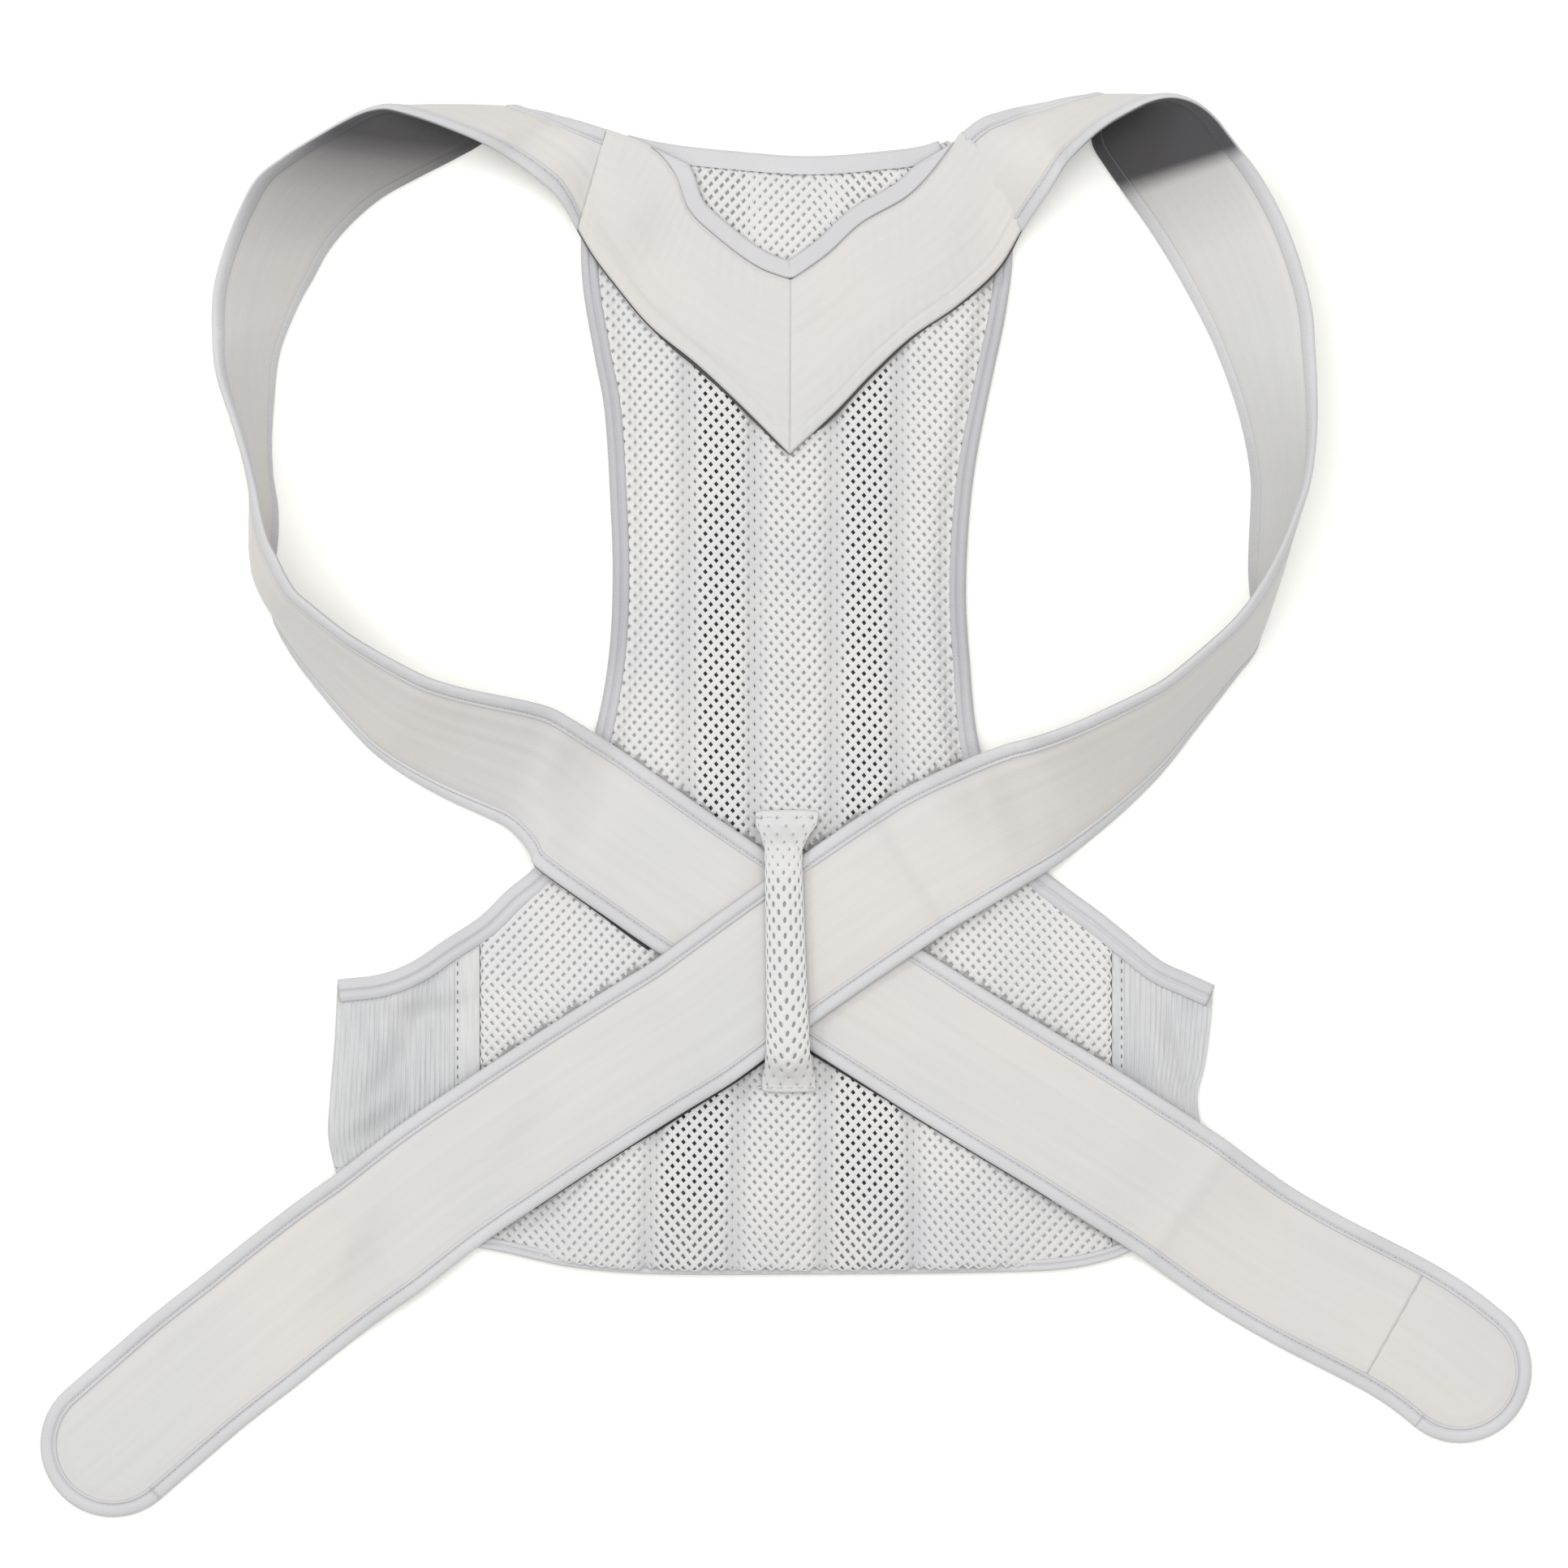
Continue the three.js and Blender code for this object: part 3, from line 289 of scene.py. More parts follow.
# %% The rows that pin the straps
LEFT_YOKE = [
    (0.014, 0.889, 0.009, 0.733), (-0.166, 0.9, -0.23, 0.771), (-0.4, 0.927, -0.506, 0.812),
    (-0.556, 0.951, -0.782, 0.848), (-0.634, 0.983, -0.979, 0.885), (-0.768, 1.007, -1.094, 0.909),
    (-1.021, 1.023, -1.186, 0.933),
]
RIGHT_YOKE = [
    (0.023, 0.889, 0.018, 0.733), (0.221, 0.911, 0.276, 0.771), (0.414, 0.939, 0.487, 0.806),
    (0.667, 0.962, 0.699, 0.837), (0.782, 0.979, 0.966, 0.866), (0.897, 1.002, 1.195, 0.899),
    (0.984, 1.02, 1.324, 0.932),
]
LEFT_LOOP = [
    (-0.368, 0.993, -0.22, -0.53, 0.12, ON_PANEL, 0), (-0.4, 1.004, -0.25, -0.43, 0.25, ON_WING, 0),
    (-0.434, 1.014, -0.32, -0.33, 0.38, ON_TABLE, 0), (-0.471, 1.023, -0.42, -0.24, 0.5, ON_TABLE, 0),
    (-0.511, 1.03, -0.54, -0.16, 0.58, ON_TABLE, 0), (-0.547, 1.036, -0.71, -0.09, 0.63, ON_TABLE, 0),
    (-0.58, 1.04, -0.9, -0.04, 0.66, ON_TABLE, 0), (-0.61, 1.034, -0.98, -0.01, 0.66, ON_TABLE, 0),
    (-0.647, 1.02, -0.98, 0.07, 0.64, ON_TABLE, 0), (-0.687, 1.008, -0.97, 0.08, 0.62, ON_TABLE, 0),
    (-0.728, 0.996, -0.93, 0.09, 0.61, ON_TABLE, 0), (-0.811, 0.969, -0.83, 0.08, 0.64, ON_TABLE, 0),
    (-0.873, 0.925, -0.7, -0.03, 0.72, ON_TABLE, 0), (-0.908, 0.882, -0.62, -0.11, 0.78, ON_TABLE, 0),
    (-0.922, 0.851, -0.51, -0.19, 0.84, ON_TABLE, 0), (-0.934, 0.82, -0.38, -0.1, 0.92, ON_TABLE, 0),
    (-0.934, 0.791, -0.3, -0.01, 0.95, ON_TABLE, 0), (-0.921, 0.736, -0.14, 0.09, 0.98, ON_TABLE, 0),
    (-0.904, 0.694, -0.1, 0.11, 0.98, ON_TABLE, 0.06), (-0.895, 0.656, -0.03, 0.07, 0.98, ON_TABLE, 0.12),
    (-0.888, 0.627, 0.11, 0.11, 0.98, ON_TABLE, 0.12), (-0.87, 0.602, 0.17, 0.12, 0.97, ON_TABLE, 0.08),
    (-0.845, 0.584, 0.3, 0.11, 0.95, ON_TABLE, 0.05), (-0.798, 0.556, 0.37, 0.2, 0.905, ON_TABLE, 0.03),
    (-0.721, 0.519, 0.32, 0.45, 0.83, ON_TABLE, 0.02), (-0.658, 0.496, 0.37, 0.54, 0.76, ON_TABLE, 0.02),
    (-0.587, 0.479, 0.37, 0.65, 0.665, ON_TABLE, 0), (-0.516, 0.466, 0.37, 0.74, 0.555, ON_TABLE, 0),
    (-0.451, 0.454, 0.34, 0.81, 0.42, ON_TABLE, 0), (-0.402, 0.435, 0.39, 0.85, 0.2, ON_WING, 0),
]
RIGHT_LOOP = [
    (0.385, 0.992, 0.39, -0.63, 0.14, ON_PANEL, 0), (0.415, 1.004, 0.33, -0.55, 0.3, ON_WING, 0),
    (0.444, 1.016, 0.27, -0.44, 0.46, ON_TABLE, 0), (0.477, 1.025, 0.21, -0.35, 0.6, ON_TABLE, 0),
    (0.513, 1.035, 0.21, -0.25, 0.72, ON_TABLE, 0), (0.552, 1.043, 0.27, -0.15, 0.8, ON_TABLE, 0),
    (0.592, 1.049, 0.41, -0.06, 0.84, ON_TABLE, 0), (0.614, 1.039, 0.65, 0.04, 0.84, ON_TABLE, 0),
    (0.634, 1.019, 0.81, 0.12, 0.8, ON_TABLE, 0), (0.668, 0.994, 0.79, 0.2, 0.74, ON_TABLE, 0),
    (0.719, 0.958, 0.75, 0.28, 0.72, ON_TABLE, 0), (0.766, 0.916, 0.75, 0.22, 0.72, ON_TABLE, 0),
    (0.808, 0.864, 0.71, 0.09, 0.75, ON_TABLE, 0), (0.828, 0.823, 0.62, -0.02, 0.79, ON_TABLE, 0),
    (0.847, 0.767, 0.48, -0.08, 0.88, ON_TABLE, 0.03), (0.852, 0.716, 0.35, -0.07, 0.93, ON_TABLE, 0.06),
    (0.842, 0.683, 0.26, -0.06, 0.96, ON_TABLE, 0.1), (0.829, 0.653, 0.18, -0.04, 0.98, ON_TABLE, 0.12),
    (0.815, 0.622, 0.07, 0.02, 0.98, ON_TABLE, 0.12), (0.803, 0.595, -0.08, 0.06, 0.98, ON_TABLE, 0.1),
    (0.787, 0.571, -0.21, 0.13, 0.97, ON_TABLE, 0.06), (0.744, 0.545, -0.2, 0.23, 0.95, ON_TABLE, 0.03),
    (0.675, 0.507, -0.2, 0.37, 0.905, ON_TABLE, 0.02), (0.615, 0.481, -0.29, 0.48, 0.83, ON_TABLE, 0.02),
    (0.536, 0.453, -0.4, 0.58, 0.706, ON_TABLE, 0), (0.461, 0.43, -0.38, 0.75, 0.5, ON_TABLE, 0),
    (0.4, 0.415, -0.42, 0.83, 0.36, ON_WING, 0),
]
LEFT_STRAP_ON_PANEL = [
    (-0.466, 0.415, ON_PANEL), (-0.337, 0.379, ON_PANEL), (-0.232, 0.35, ON_PANEL),
    (-0.037, 0.299, ON_PANEL), (0.203, 0.24, ON_PANEL), (0.35, 0.203, ON_PANEL),
    (0.495, 0.168, ON_PANEL), (0.646, 0.132, ON_PANEL), (0.746, 0.107, ON_PANEL),
    (0.853, 0.08, ON_WING), (0.902, 0.067, ON_WING),
]
RIGHT_STRAP_ON_PANEL = [
    (0.365, 0.383, ON_PANEL), (0.293, 0.366, ON_PANEL), (0.23, 0.35, ON_STRAP),
    (0.118, 0.32, ON_STRAP), (0.004, 0.289, ON_STRAP), (-0.109, 0.257, ON_STRAP),
    (-0.221, 0.225, ON_STRAP), (-0.304, 0.205, ON_PANEL), (-0.497, 0.157, ON_PANEL),
    (-0.667, 0.113, ON_PANEL), (-0.786, 0.081, ON_WING), (-0.917, 0.041, ON_WING),
    (-0.948, 0.032, ON_WING),
]
LEFT_STRAP_FREE = [
    (0.083, -0.062, ON_WING / 2), (0.24, -0.172, ON_TABLE), (0.427, -0.282, ON_TABLE),
    (0.605, -0.374, ON_TABLE), (0.76, -0.454, ON_TABLE), (0.89, -0.534, ON_TABLE), (1, -0.62, ON_TABLE),
]
RIGHT_STRAP_FREE = [
    (-0.12, -0.085, ON_WING / 2), (-0.297, -0.221, ON_TABLE), (-0.473, -0.363, ON_TABLE),
    (-0.656, -0.505, ON_TABLE), (-0.836, -0.659, ON_TABLE), (-1, -0.801, ON_TABLE),
]

# %% [markdown]
# ## From rows to frames
# Between the rows the strap needs a frame at every few millimetres: its centre, the way across and
# the way outward. The outward way is the cross product of the way along and the way across, evened
# out where the strap turns sharply, because real webbing spreads a sharp turn over its length.

# %% Frames along a strap
COARSE_STEPS = 76
FINE_PER_COARSE = 8


def yoke_lines(table, shift):
    table = np.array(table)
    scale = np.array([HALF_WAIST, PANEL_LENGTH])
    moved = np.array([shift, 0])
    return table[:, :2] * scale + moved, table[:, 2:] * scale + moved


def pinned_rows(yoke, loop, on_panel, free, reach, side):
    """Rows of (middle x, y, across x, y, z, level, bulge) in millimetres."""
    inner, outer = yoke[0][-1], yoke[1][-1]
    seam = outer - inner
    away = unit(np.array([seam[1], -seam[0]])) * side * GAP
    rows = [[*((inner + outer) / 2 + away), *seam, 0, ON_PANEL, 0]]
    for x, y, across_x, across_y, rise, level, bulge in loop:
        across = np.array([across_x, across_y, rise]) * STRAP_WIDTH
        rows.append([x * LOOP_REACH, y * PANEL_LENGTH, *across, level, bulge])
    flat_from = len(rows)
    for x, y, level in on_panel:
        rows.append([x * HALF_WING, y * PANEL_LENGTH, 0, 0, 0, level, 0])
    start_x, start_y = rows[-1][:2]
    for x, y, level in free:
        rows.append([start_x + x * reach, start_y + y * reach, 0, 0, 0, level, 0])
    rows = np.array(rows, float)
    for index in range(flat_from, len(rows)):
        after = rows[min(index + 1, len(rows) - 1), :2]
        way = unit(after - rows[index - 1, :2])
        rows[index, 2:4] = np.array([-way[1], way[0]]) * side * STRAP_WIDTH
    return rows


def strap_frames(rows, side):
    places = np.linspace(0, len(rows) - 1, COARSE_STEPS + 1)
    middle = curve_at(rows[:, :2], places, spaced=False)
    across = curve_at(rows[:, 2:5], places, spaced=False)
    level = np.interp(places, np.arange(len(rows)), rows[:, 5])
    bulge = np.interp(places, np.arange(len(rows)), rows[:, 6])
    centre = np.column_stack([middle, level + np.abs(across[:, 2]) / 2])
    along = ahead(centre)
    along[0, 2] = 0
    out = unit(np.cross(unit(along), across) * side)
    for _ in range(3):
        before = out.copy()
        out[1:-1] = unit(before[1:-1] + before[:-2] + before[2:])
    centre[:, 2] += np.abs(out[:, 2]) * TAPE_THICKNESS / 2
    finer = np.linspace(0, COARSE_STEPS, COARSE_STEPS * FINE_PER_COARSE + 1)
    centre, across, out, along = (curve_at(x, finer, spaced=False) for x in (centre, across, out, along))
    bulge = np.interp(finer, np.arange(COARSE_STEPS + 1), bulge)
    walked = np.concatenate([[0], np.cumsum(np.linalg.norm(np.diff(centre, axis=0), axis=1))])
    return {"centre": centre, "across": across, "out": unit(out), "along": unit(along),
            "bulge": bulge, "walked": walked, "row": np.linspace(0, len(rows) - 1, len(finer))}


left_yoke = yoke_lines(LEFT_YOKE, -GAP / 2)
right_yoke = yoke_lines(RIGHT_YOKE, GAP / 2)
left_rows = pinned_rows(left_yoke, LEFT_LOOP, LEFT_STRAP_ON_PANEL, LEFT_STRAP_FREE, LEFT_STRAP_END, 1)
right_rows = pinned_rows(right_yoke, RIGHT_LOOP, RIGHT_STRAP_ON_PANEL, RIGHT_STRAP_FREE, RIGHT_STRAP_END, -1)
straps = {"left": strap_frames(left_rows, 1), "right": strap_frames(right_rows, -1)}
for side_name, path in straps.items():
    print(f"{side_name} strap: {path['walked'][-1]:.0f} mm long without its round end")


def strap_points(path, offsets, outward):
    """Points of a strap: offsets across from its middle and heights outward, for each frame."""
    length = np.linalg.norm(path["across"], axis=1)[:, None]
    share = 2 * offsets / length
    bulge = path["bulge"][:, None] * STRAP_WIDTH * (1 - share**2)
    return (path["centre"][:, None] + path["across"][:, None] * (offsets / length)[..., None]
            + path["out"][:, None] * (outward + bulge)[..., None])

# %% [markdown]
# ## Cloth finishes
# All the cloth is the same off-white, but each kind has its own surface: brushed loop cloth on the
# straps, smooth folded tape on the edges, knitted mesh, ribbed elastic. Each finish starts from one
# shader, gets its colour from soft noise, and its relief from a bump that follows the cloth's UV.

# %% A helper that wires a cloth finish
SOFT_SHINE = 0.25
SHEEN_SPREAD = 0.5


def finish_of(name, roughness, sheen):
    material = bpy.data.materials.new(name)
    material.use_nodes = True
    shader = material.node_tree.nodes["Principled BSDF"]
    shader.inputs["Roughness"].default_value = roughness
    shader.inputs["Specular IOR Level"].default_value = SOFT_SHINE
    shader.inputs["Sheen Weight"].default_value = sheen
    shader.inputs["Sheen Roughness"].default_value = SHEEN_SPREAD
    return material, material.node_tree, shader


def node(tree, kind, **values):
    """A shader or geometry node with its inputs and settings given by name."""
    made = tree.nodes.new(kind)
    for name, value in values.items():
        if name in made.inputs:
            made.inputs[name].default_value = value
        else:
            setattr(made, name, value)
    return made


def stretched(tree, source, scale):
    """Cloth or object coordinates, multiplied so that a pattern repeats so many times in a metre."""
    coordinates = node(tree, "ShaderNodeTexCoord")
    mapping = node(tree, "ShaderNodeMapping")
    mapping.inputs["Scale"].default_value = scale
    tree.links.new(coordinates.outputs[source], mapping.inputs["Vector"])
    return mapping.outputs["Vector"]


def noise(tree, source, scale, detail=2.0):
    """Soft noise, with its own scale for each axis."""
    made = node(tree, "ShaderNodeTexNoise", Scale=1.0, Detail=detail)
    tree.links.new(stretched(tree, source, scale), made.inputs["Vector"])
    return made.outputs["Fac"]


def between(tree, share, low, high, from_low=0.35, from_high=0.65):
    """A colour between two, by a value that runs over a middle range."""
    mixer = node(tree, "ShaderNodeValToRGB")
    mixer.color_ramp.elements[0].position = from_low
    mixer.color_ramp.elements[1].position = from_high
    mixer.color_ramp.elements[0].color = (*low, 1)
    mixer.color_ramp.elements[1].color = (*high, 1)
    tree.links.new(share, mixer.inputs["Fac"])
    return mixer.outputs["Color"]


def times(colour, share):
    return tuple(channel * share for channel in colour)


def blended(tree, share, first, second, way="MIX"):
    """Two colours, given as values or as sockets, mixed by a number or by a socket."""
    mixer = node(tree, "ShaderNodeMix", data_type="RGBA", blend_type=way)
    if isinstance(share, float):
        mixer.inputs["Factor"].default_value = share
    else:
        tree.links.new(share, mixer.inputs["Factor"])
    for slot, value in (("A", first), ("B", second)):
        socket = [s for s in mixer.inputs if s.name == slot and s.type == "RGBA"][0]
        if isinstance(value, tuple):
            socket.default_value = (*value, 1)
        else:
            tree.links.new(value, socket)
    return [s for s in mixer.outputs if s.type == "RGBA"][0]


def relief(tree, shader, height, distance, strength=1.0, below=None):
    bump = node(tree, "ShaderNodeBump", Strength=strength, Distance=distance)
    tree.links.new(height, bump.inputs["Height"])
    if below is not None:
        tree.links.new(below, bump.inputs["Normal"])
    tree.links.new(bump.outputs["Normal"], shader.inputs["Normal"])
    return bump.outputs["Normal"]


def painted(tree, name):
    """A value that is kept on the mesh under this name."""
    return node(tree, "ShaderNodeAttribute", attribute_name=name).outputs["Fac"]


# %% [markdown]
# ## Colours
# The cloth is a light warm grey. The lamps below make a white surface slightly brighter than
# white, so that the table loses its shadows as in a catalogue picture, and the cloth's own
# colours are that much darker than they look.

# %% The finishes
WARM = (0.545, 0.522, 0.5)
COOL = (0.512, 0.51, 0.508)
# The dark that the value kept as shade mixes toward, mostly painted shade; the knit's hole bottoms use it
# too.
DEEP = (0.035, 0.033, 0.037)
TAPE = (0.51, 0.508, 0.52)
SIDE_TAPE = (0.5, 0.498, 0.515)
STREAK = (0.975, 0.975, 0.975)
FULL = (1, 1, 1)


def brushed_cloth(name, dimmer=1.0):
    """Loop cloth: a short soft pile, faint streaks along the strap, and warm and cool patches."""
    material, tree, shader = finish_of(name, roughness=0.92, sheen=0.12)
    patches = noise(tree, "Object", (14, 14, 14), 1.0)
    colour = between(tree, patches, times(COOL, dimmer), times(WARM, dimmer))
    streaks = noise(tree, "UV", (7, 260, 1), 3.0)
    colour = blended(tree, 1.0, colour, between(tree, streaks, STREAK, FULL), "MULTIPLY")
    # Painted shade, kept on the mesh, darkens the cloth under the loops, in creases and dents, and on the
    # yoke's black foot.
    colour = blended(tree, painted(tree, "shade"), colour, DEEP)
    tree.links.new(colour, shader.inputs["Base Color"])
    pile = noise(tree, "UV", (2600, 2600, 1))
    first = relief(tree, shader, streaks, distance=0.0006, strength=0.35)
    relief(tree, shader, pile, distance=0.0002, strength=0.3, below=first)
    return material


def folded_tape(name, colour):
    """Smooth woven tape: fine cross threads and a little more shine than the strap."""
    material, tree, shader = finish_of(name, roughness=0.7, sheen=0.1)
    patches = noise(tree, "Object", (20, 20, 20))
    base = between(tree, patches, times(colour, 0.93), colour)
    # The value kept as shade darkens the tape: painted shade on the straps' tapes and the dark strips, and a
    # dimmer waist on the side tapes.
    base = blended(tree, painted(tree, "shade"), base, DEEP)
    tree.links.new(base, shader.inputs["Base Color"])
    weave = node(tree, "ShaderNodeTexWave", Scale=1.0, Distortion=0.6)
    tree.links.new(stretched(tree, "UV", (420, 90, 1)), weave.inputs["Vector"])
    relief(tree, shader, weave.outputs["Fac"], distance=0.0003, strength=0.3)
    return material


strap_cloth = brushed_cloth("brushed_strap_cloth")
yoke_cloth = brushed_cloth("brushed_yoke_cloth")
lining_cloth = brushed_cloth("strap_lining", dimmer=1.04)
edge_tape = folded_tape("folded_edge_tape", TAPE)
side_tape = folded_tape("folded_side_tape", SIDE_TAPE)

# %% [markdown]
# ## The straps' bodies
# A strap is thin padding between a brushed outside and a lining. It is fullest in the middle and
# pinched where the edge tape is sewn on. Long soft ribs come from the padding, and a few creases
# lie where it bends, with a little painted shade in them. The cross-section is lofted along the
# frames, and the round end is more frames whose width shrinks to nothing. The lining gets painted
# shade where a standing loop shades it.

# %% The straps' bodies
BODY_COLUMNS = 30
UNDER_TAPE = 5.3
CAP_ANGLES = np.concatenate([np.linspace(0.1, 1.3, 10), [1.4, 1.48, 1.53]])
# Half the thickness at the pinched rim, and what the padding adds near it and in the middle.
RIM_HALF = 0.75
RIM_SWELL = 0.55
MIDDLE_SWELL = 0.35
# How far from the rim each of these rises.
SWELL_NEAR_RIM = (1.6, 5)
SWELL_TO_MIDDLE = (4, 20)
RIBS_FROM_RIM = (2, 7)
CREASES_FROM_RIM = (0, 6)
# How much painted shade a crease gets for each millimetre of its depth, and at most.
CREASE_SHADE = 0.05
MOST_CREASE_SHADE = 0.06

# Creases. Columns: place in plan, turn of the crease in degrees, half length, half width, depth.
CREASES = [
    (-90, 190, 62, 26, 9, 1.5), (-101, 168, 66, 22, 6, -1.1), (-82, 176, 58, 28, 5, 0.8),
    (86, 178, 112, 20, 8, 1.4), (75, 184, 112, 24, 5, -0.8), (-168, 8, 60, 22, 8, 1.4),
    (-180, 2, 60, 20, 5, -0.8), (-104, 54, 55, 16, 7, 0.9), (14, 104, 60, 14, 6, 0.35),
    (-206, 372, 10, 26, 6, 0.3), (196, 300, 95, 30, 6, 0.3), (216, 22, -34, 40, 5, 0.25),
]
# Painted shade on the lining, darkest under each standing loop's crest. Columns: place counted in rows, and
# the share.
LEFT_LINING_SHADE = [(0, 0), (5, 0.6), (7, 0.95), (9.4, 0.94), (10.6, 0.8), (12, 0.42), (13.4, 0.1),
                     (15, 0), (19, 0.08), (21, 0.25), (24, 0.3), (60, 0.3)]
RIGHT_LINING_SHADE = [(0, 0), (5, 0.7), (7, 0.96), (10.1, 0.95), (10.5, 0.16), (12, 0), (14, 0), (16, 0.12),
                      (18, 0.16), (22, 0.25), (60, 0.3)]


def dent_depth(points, dents):
    """How far the dents press the cloth in, at points in plan."""
    depth = np.zeros(points.shape[:-1])
    for x, y, turn, half_length, half_width, deep in dents:
        way = np.array([math.cos(math.radians(turn)), math.sin(math.radians(turn))])
        offset = points[..., :2] - np.array([x, y])
        down = offset @ way / half_length
        aside = offset @ np.array([-way[1], way[0]]) / half_width
        depth += deep * np.exp(-(down**2) - aside**2)
    return depth


def with_end(path, radius):
    """The path carried on round its end, with each frame's half width and its way past the centre."""
    last = {key: path[key][-1] for key in path}
    along = unit(last["along"] * np.array([1, 1, 0]))
    count = len(CAP_ANGLES)
    ends = {
        "centre": last["centre"] + np.outer(radius * np.sin(CAP_ANGLES), along),
        "across": np.outer(2 * radius * np.cos(CAP_ANGLES), unit(last["across"])),
        "out": np.tile(last["out"], (count, 1)),
        "along": np.tile(along, (count, 1)),
        "bulge": np.zeros(count),
        "walked": last["walked"] + radius * np.sin(CAP_ANGLES),
        "row": np.full(count, last["row"]),
    }
    whole = {key: np.concatenate([path[key], ends[key]]) for key in path}
    along_strap = np.linalg.norm(path["across"], axis=1) / 2 - UNDER_TAPE
    half = np.concatenate([along_strap, radius * np.cos(CAP_ANGLES)])
    past = np.concatenate([np.zeros(len(path["walked"])), radius * np.sin(CAP_ANGLES)])
    return whole, half, past


def padded_height(edge):
    """Half the thickness at so far from the hidden edge of the padding."""
    return RIM_HALF + RIM_SWELL * ramp(edge, *SWELL_NEAR_RIM) + MIDDLE_SWELL * ramp(edge, *SWELL_TO_MIDDLE)


def strap_body(name, path, half, past, shade_table, ribs, raised=0.0):
    """The stretch of strap along a path. Ribs is their height, and raised lifts both faces a little."""
    offsets = np.linspace(-1, 1, BODY_COLUMNS) * half[:, None]
    from_cap = RADIUS - np.hypot(offsets, past[:, None])
    edge = np.where(past[:, None] > 0, from_cap, half[:, None] - np.abs(offsets))
    height = padded_height(np.maximum(edge, 0)) + raised
    walked = path["walked"][:, None]
    # Two uneven waves across the strap, which wander along it.
    waves = np.sin(offsets * 0.83 + 0.9 * np.sin(walked / 61)) + 0.6 * np.sin(offsets * 1.37 + walked / 47)
    rib_height = ribs * waves * ramp(edge, *RIBS_FROM_RIM)
    plan = strap_points(path, offsets, height)
    flat = np.abs(path["out"][:, 2:3]) ** 2
    creases = dent_depth(plan, CREASES)
    top = height + rib_height * flat - creases * ramp(edge, *CREASES_FROM_RIM) * flat
    top_points = strap_points(path, offsets, top)
    under_points = strap_points(path, offsets, -height)
    rings = np.concatenate([top_points, under_points[:, ::-1]], 1)
    piece = loft(name, rings, np.concatenate([offsets, offsets[:, ::-1]], 1))
    # Painted shade: on the lining where the loops shade it, and in the creases on the outside.
    table = np.array(shade_table)
    lining = np.interp(path["row"], table[:, 0], table[:, 1])[:, None] * np.ones(BODY_COLUMNS)
    soft = np.clip(np.abs(creases) * CREASE_SHADE, 0, MOST_CREASE_SHADE) * flat
    keep_value(piece, "shade", np.concatenate([soft, lining], 1))
    piece.data.materials.append(strap_cloth)
    piece.data.materials.append(lining_cloth)
    sides = np.zeros(len(piece.data.polygons), int)
    around = 2 * BODY_COLUMNS
    sides[: (len(rings) - 1) * around] = np.tile(np.arange(around) >= BODY_COLUMNS - 1, len(rings) - 1)
    piece.data.polygons.foreach_set("material_index", sides)
    return piece


def cut_path(values, start, stop):
    return {key: value[start:stop] for key, value in values.items()}


# The straps are sewn to the yoke, so here they close the gap that their solids keep.
YOKE_GAP_CLOSED = 0.7
for path in straps.values():
    path["centre"][0] -= path["along"][0] * YOKE_GAP_CLOSED
RADIUS = STRAP_WIDTH / 2 - UNDER_TAPE
left_whole, left_half, left_past = with_end(straps["left"], RADIUS)
right_whole, right_half, right_past = with_end(straps["right"], RADIUS)
left_walked = straps["left"]["walked"]
seam_at = int(np.searchsorted(left_walked, left_walked[-1] - END_PATCH_LENGTH))
pieces["left_strap"] = strap_body(
    "left_strap_body", cut_path(left_whole, 0, seam_at + 1), left_half[: seam_at + 1],
    left_past[: seam_at + 1], LEFT_LINING_SHADE, ribs=0.16, raised=0.1)
pieces["left_strap_end_patch"] = strap_body(
    "left_strap_patch", cut_path(left_whole, seam_at, None), left_half[seam_at:],
    left_past[seam_at:], LEFT_LINING_SHADE, ribs=0.05)
pieces["right_strap"] = strap_body(
    "right_strap_body", right_whole, right_half, right_past, RIGHT_LINING_SHADE, ribs=0.07)

# %% [markdown]
# ## The tape round the straps' edges
# The edges are closed with a tape folded over them and sewn down. Seen from above there is a smooth
# round band, a sewn groove, and a thin raised bead next to the strap's face. One cross-section with
# those three forms runs along the strap, and on the arm side it goes on round the free end.

# %% The straps' edge tapes
# The tape's cross-section. Columns: way out from its inner edge, and height from its middle.
# The tape puckers a little where it is sewn.
TAPE_SECTION = np.array([
    (0, 0.7), (0.15, 1.3), (0.5, 1.62), (0.9, 1.62), (1.25, 1.3), (1.4, 0.85), (1.62, 0.8), (1.85, 1.2),
    (2.4, 1.55), (3.4, 1.7), (4.6, 1.62), (5.5, 1.3), (6.1, 0.8), (6.4, 0), (6.1, -0.8), (5.5, -1.3),
    (4.4, -1.65), (3, -1.7), (1.8, -1.55), (0.8, -1.35), (0.2, -1), (0, -0.5),
])
TAPE_UNDERSIDE = -0.6
TAPE_PUCKER = 0.05
END_TURNS = 40


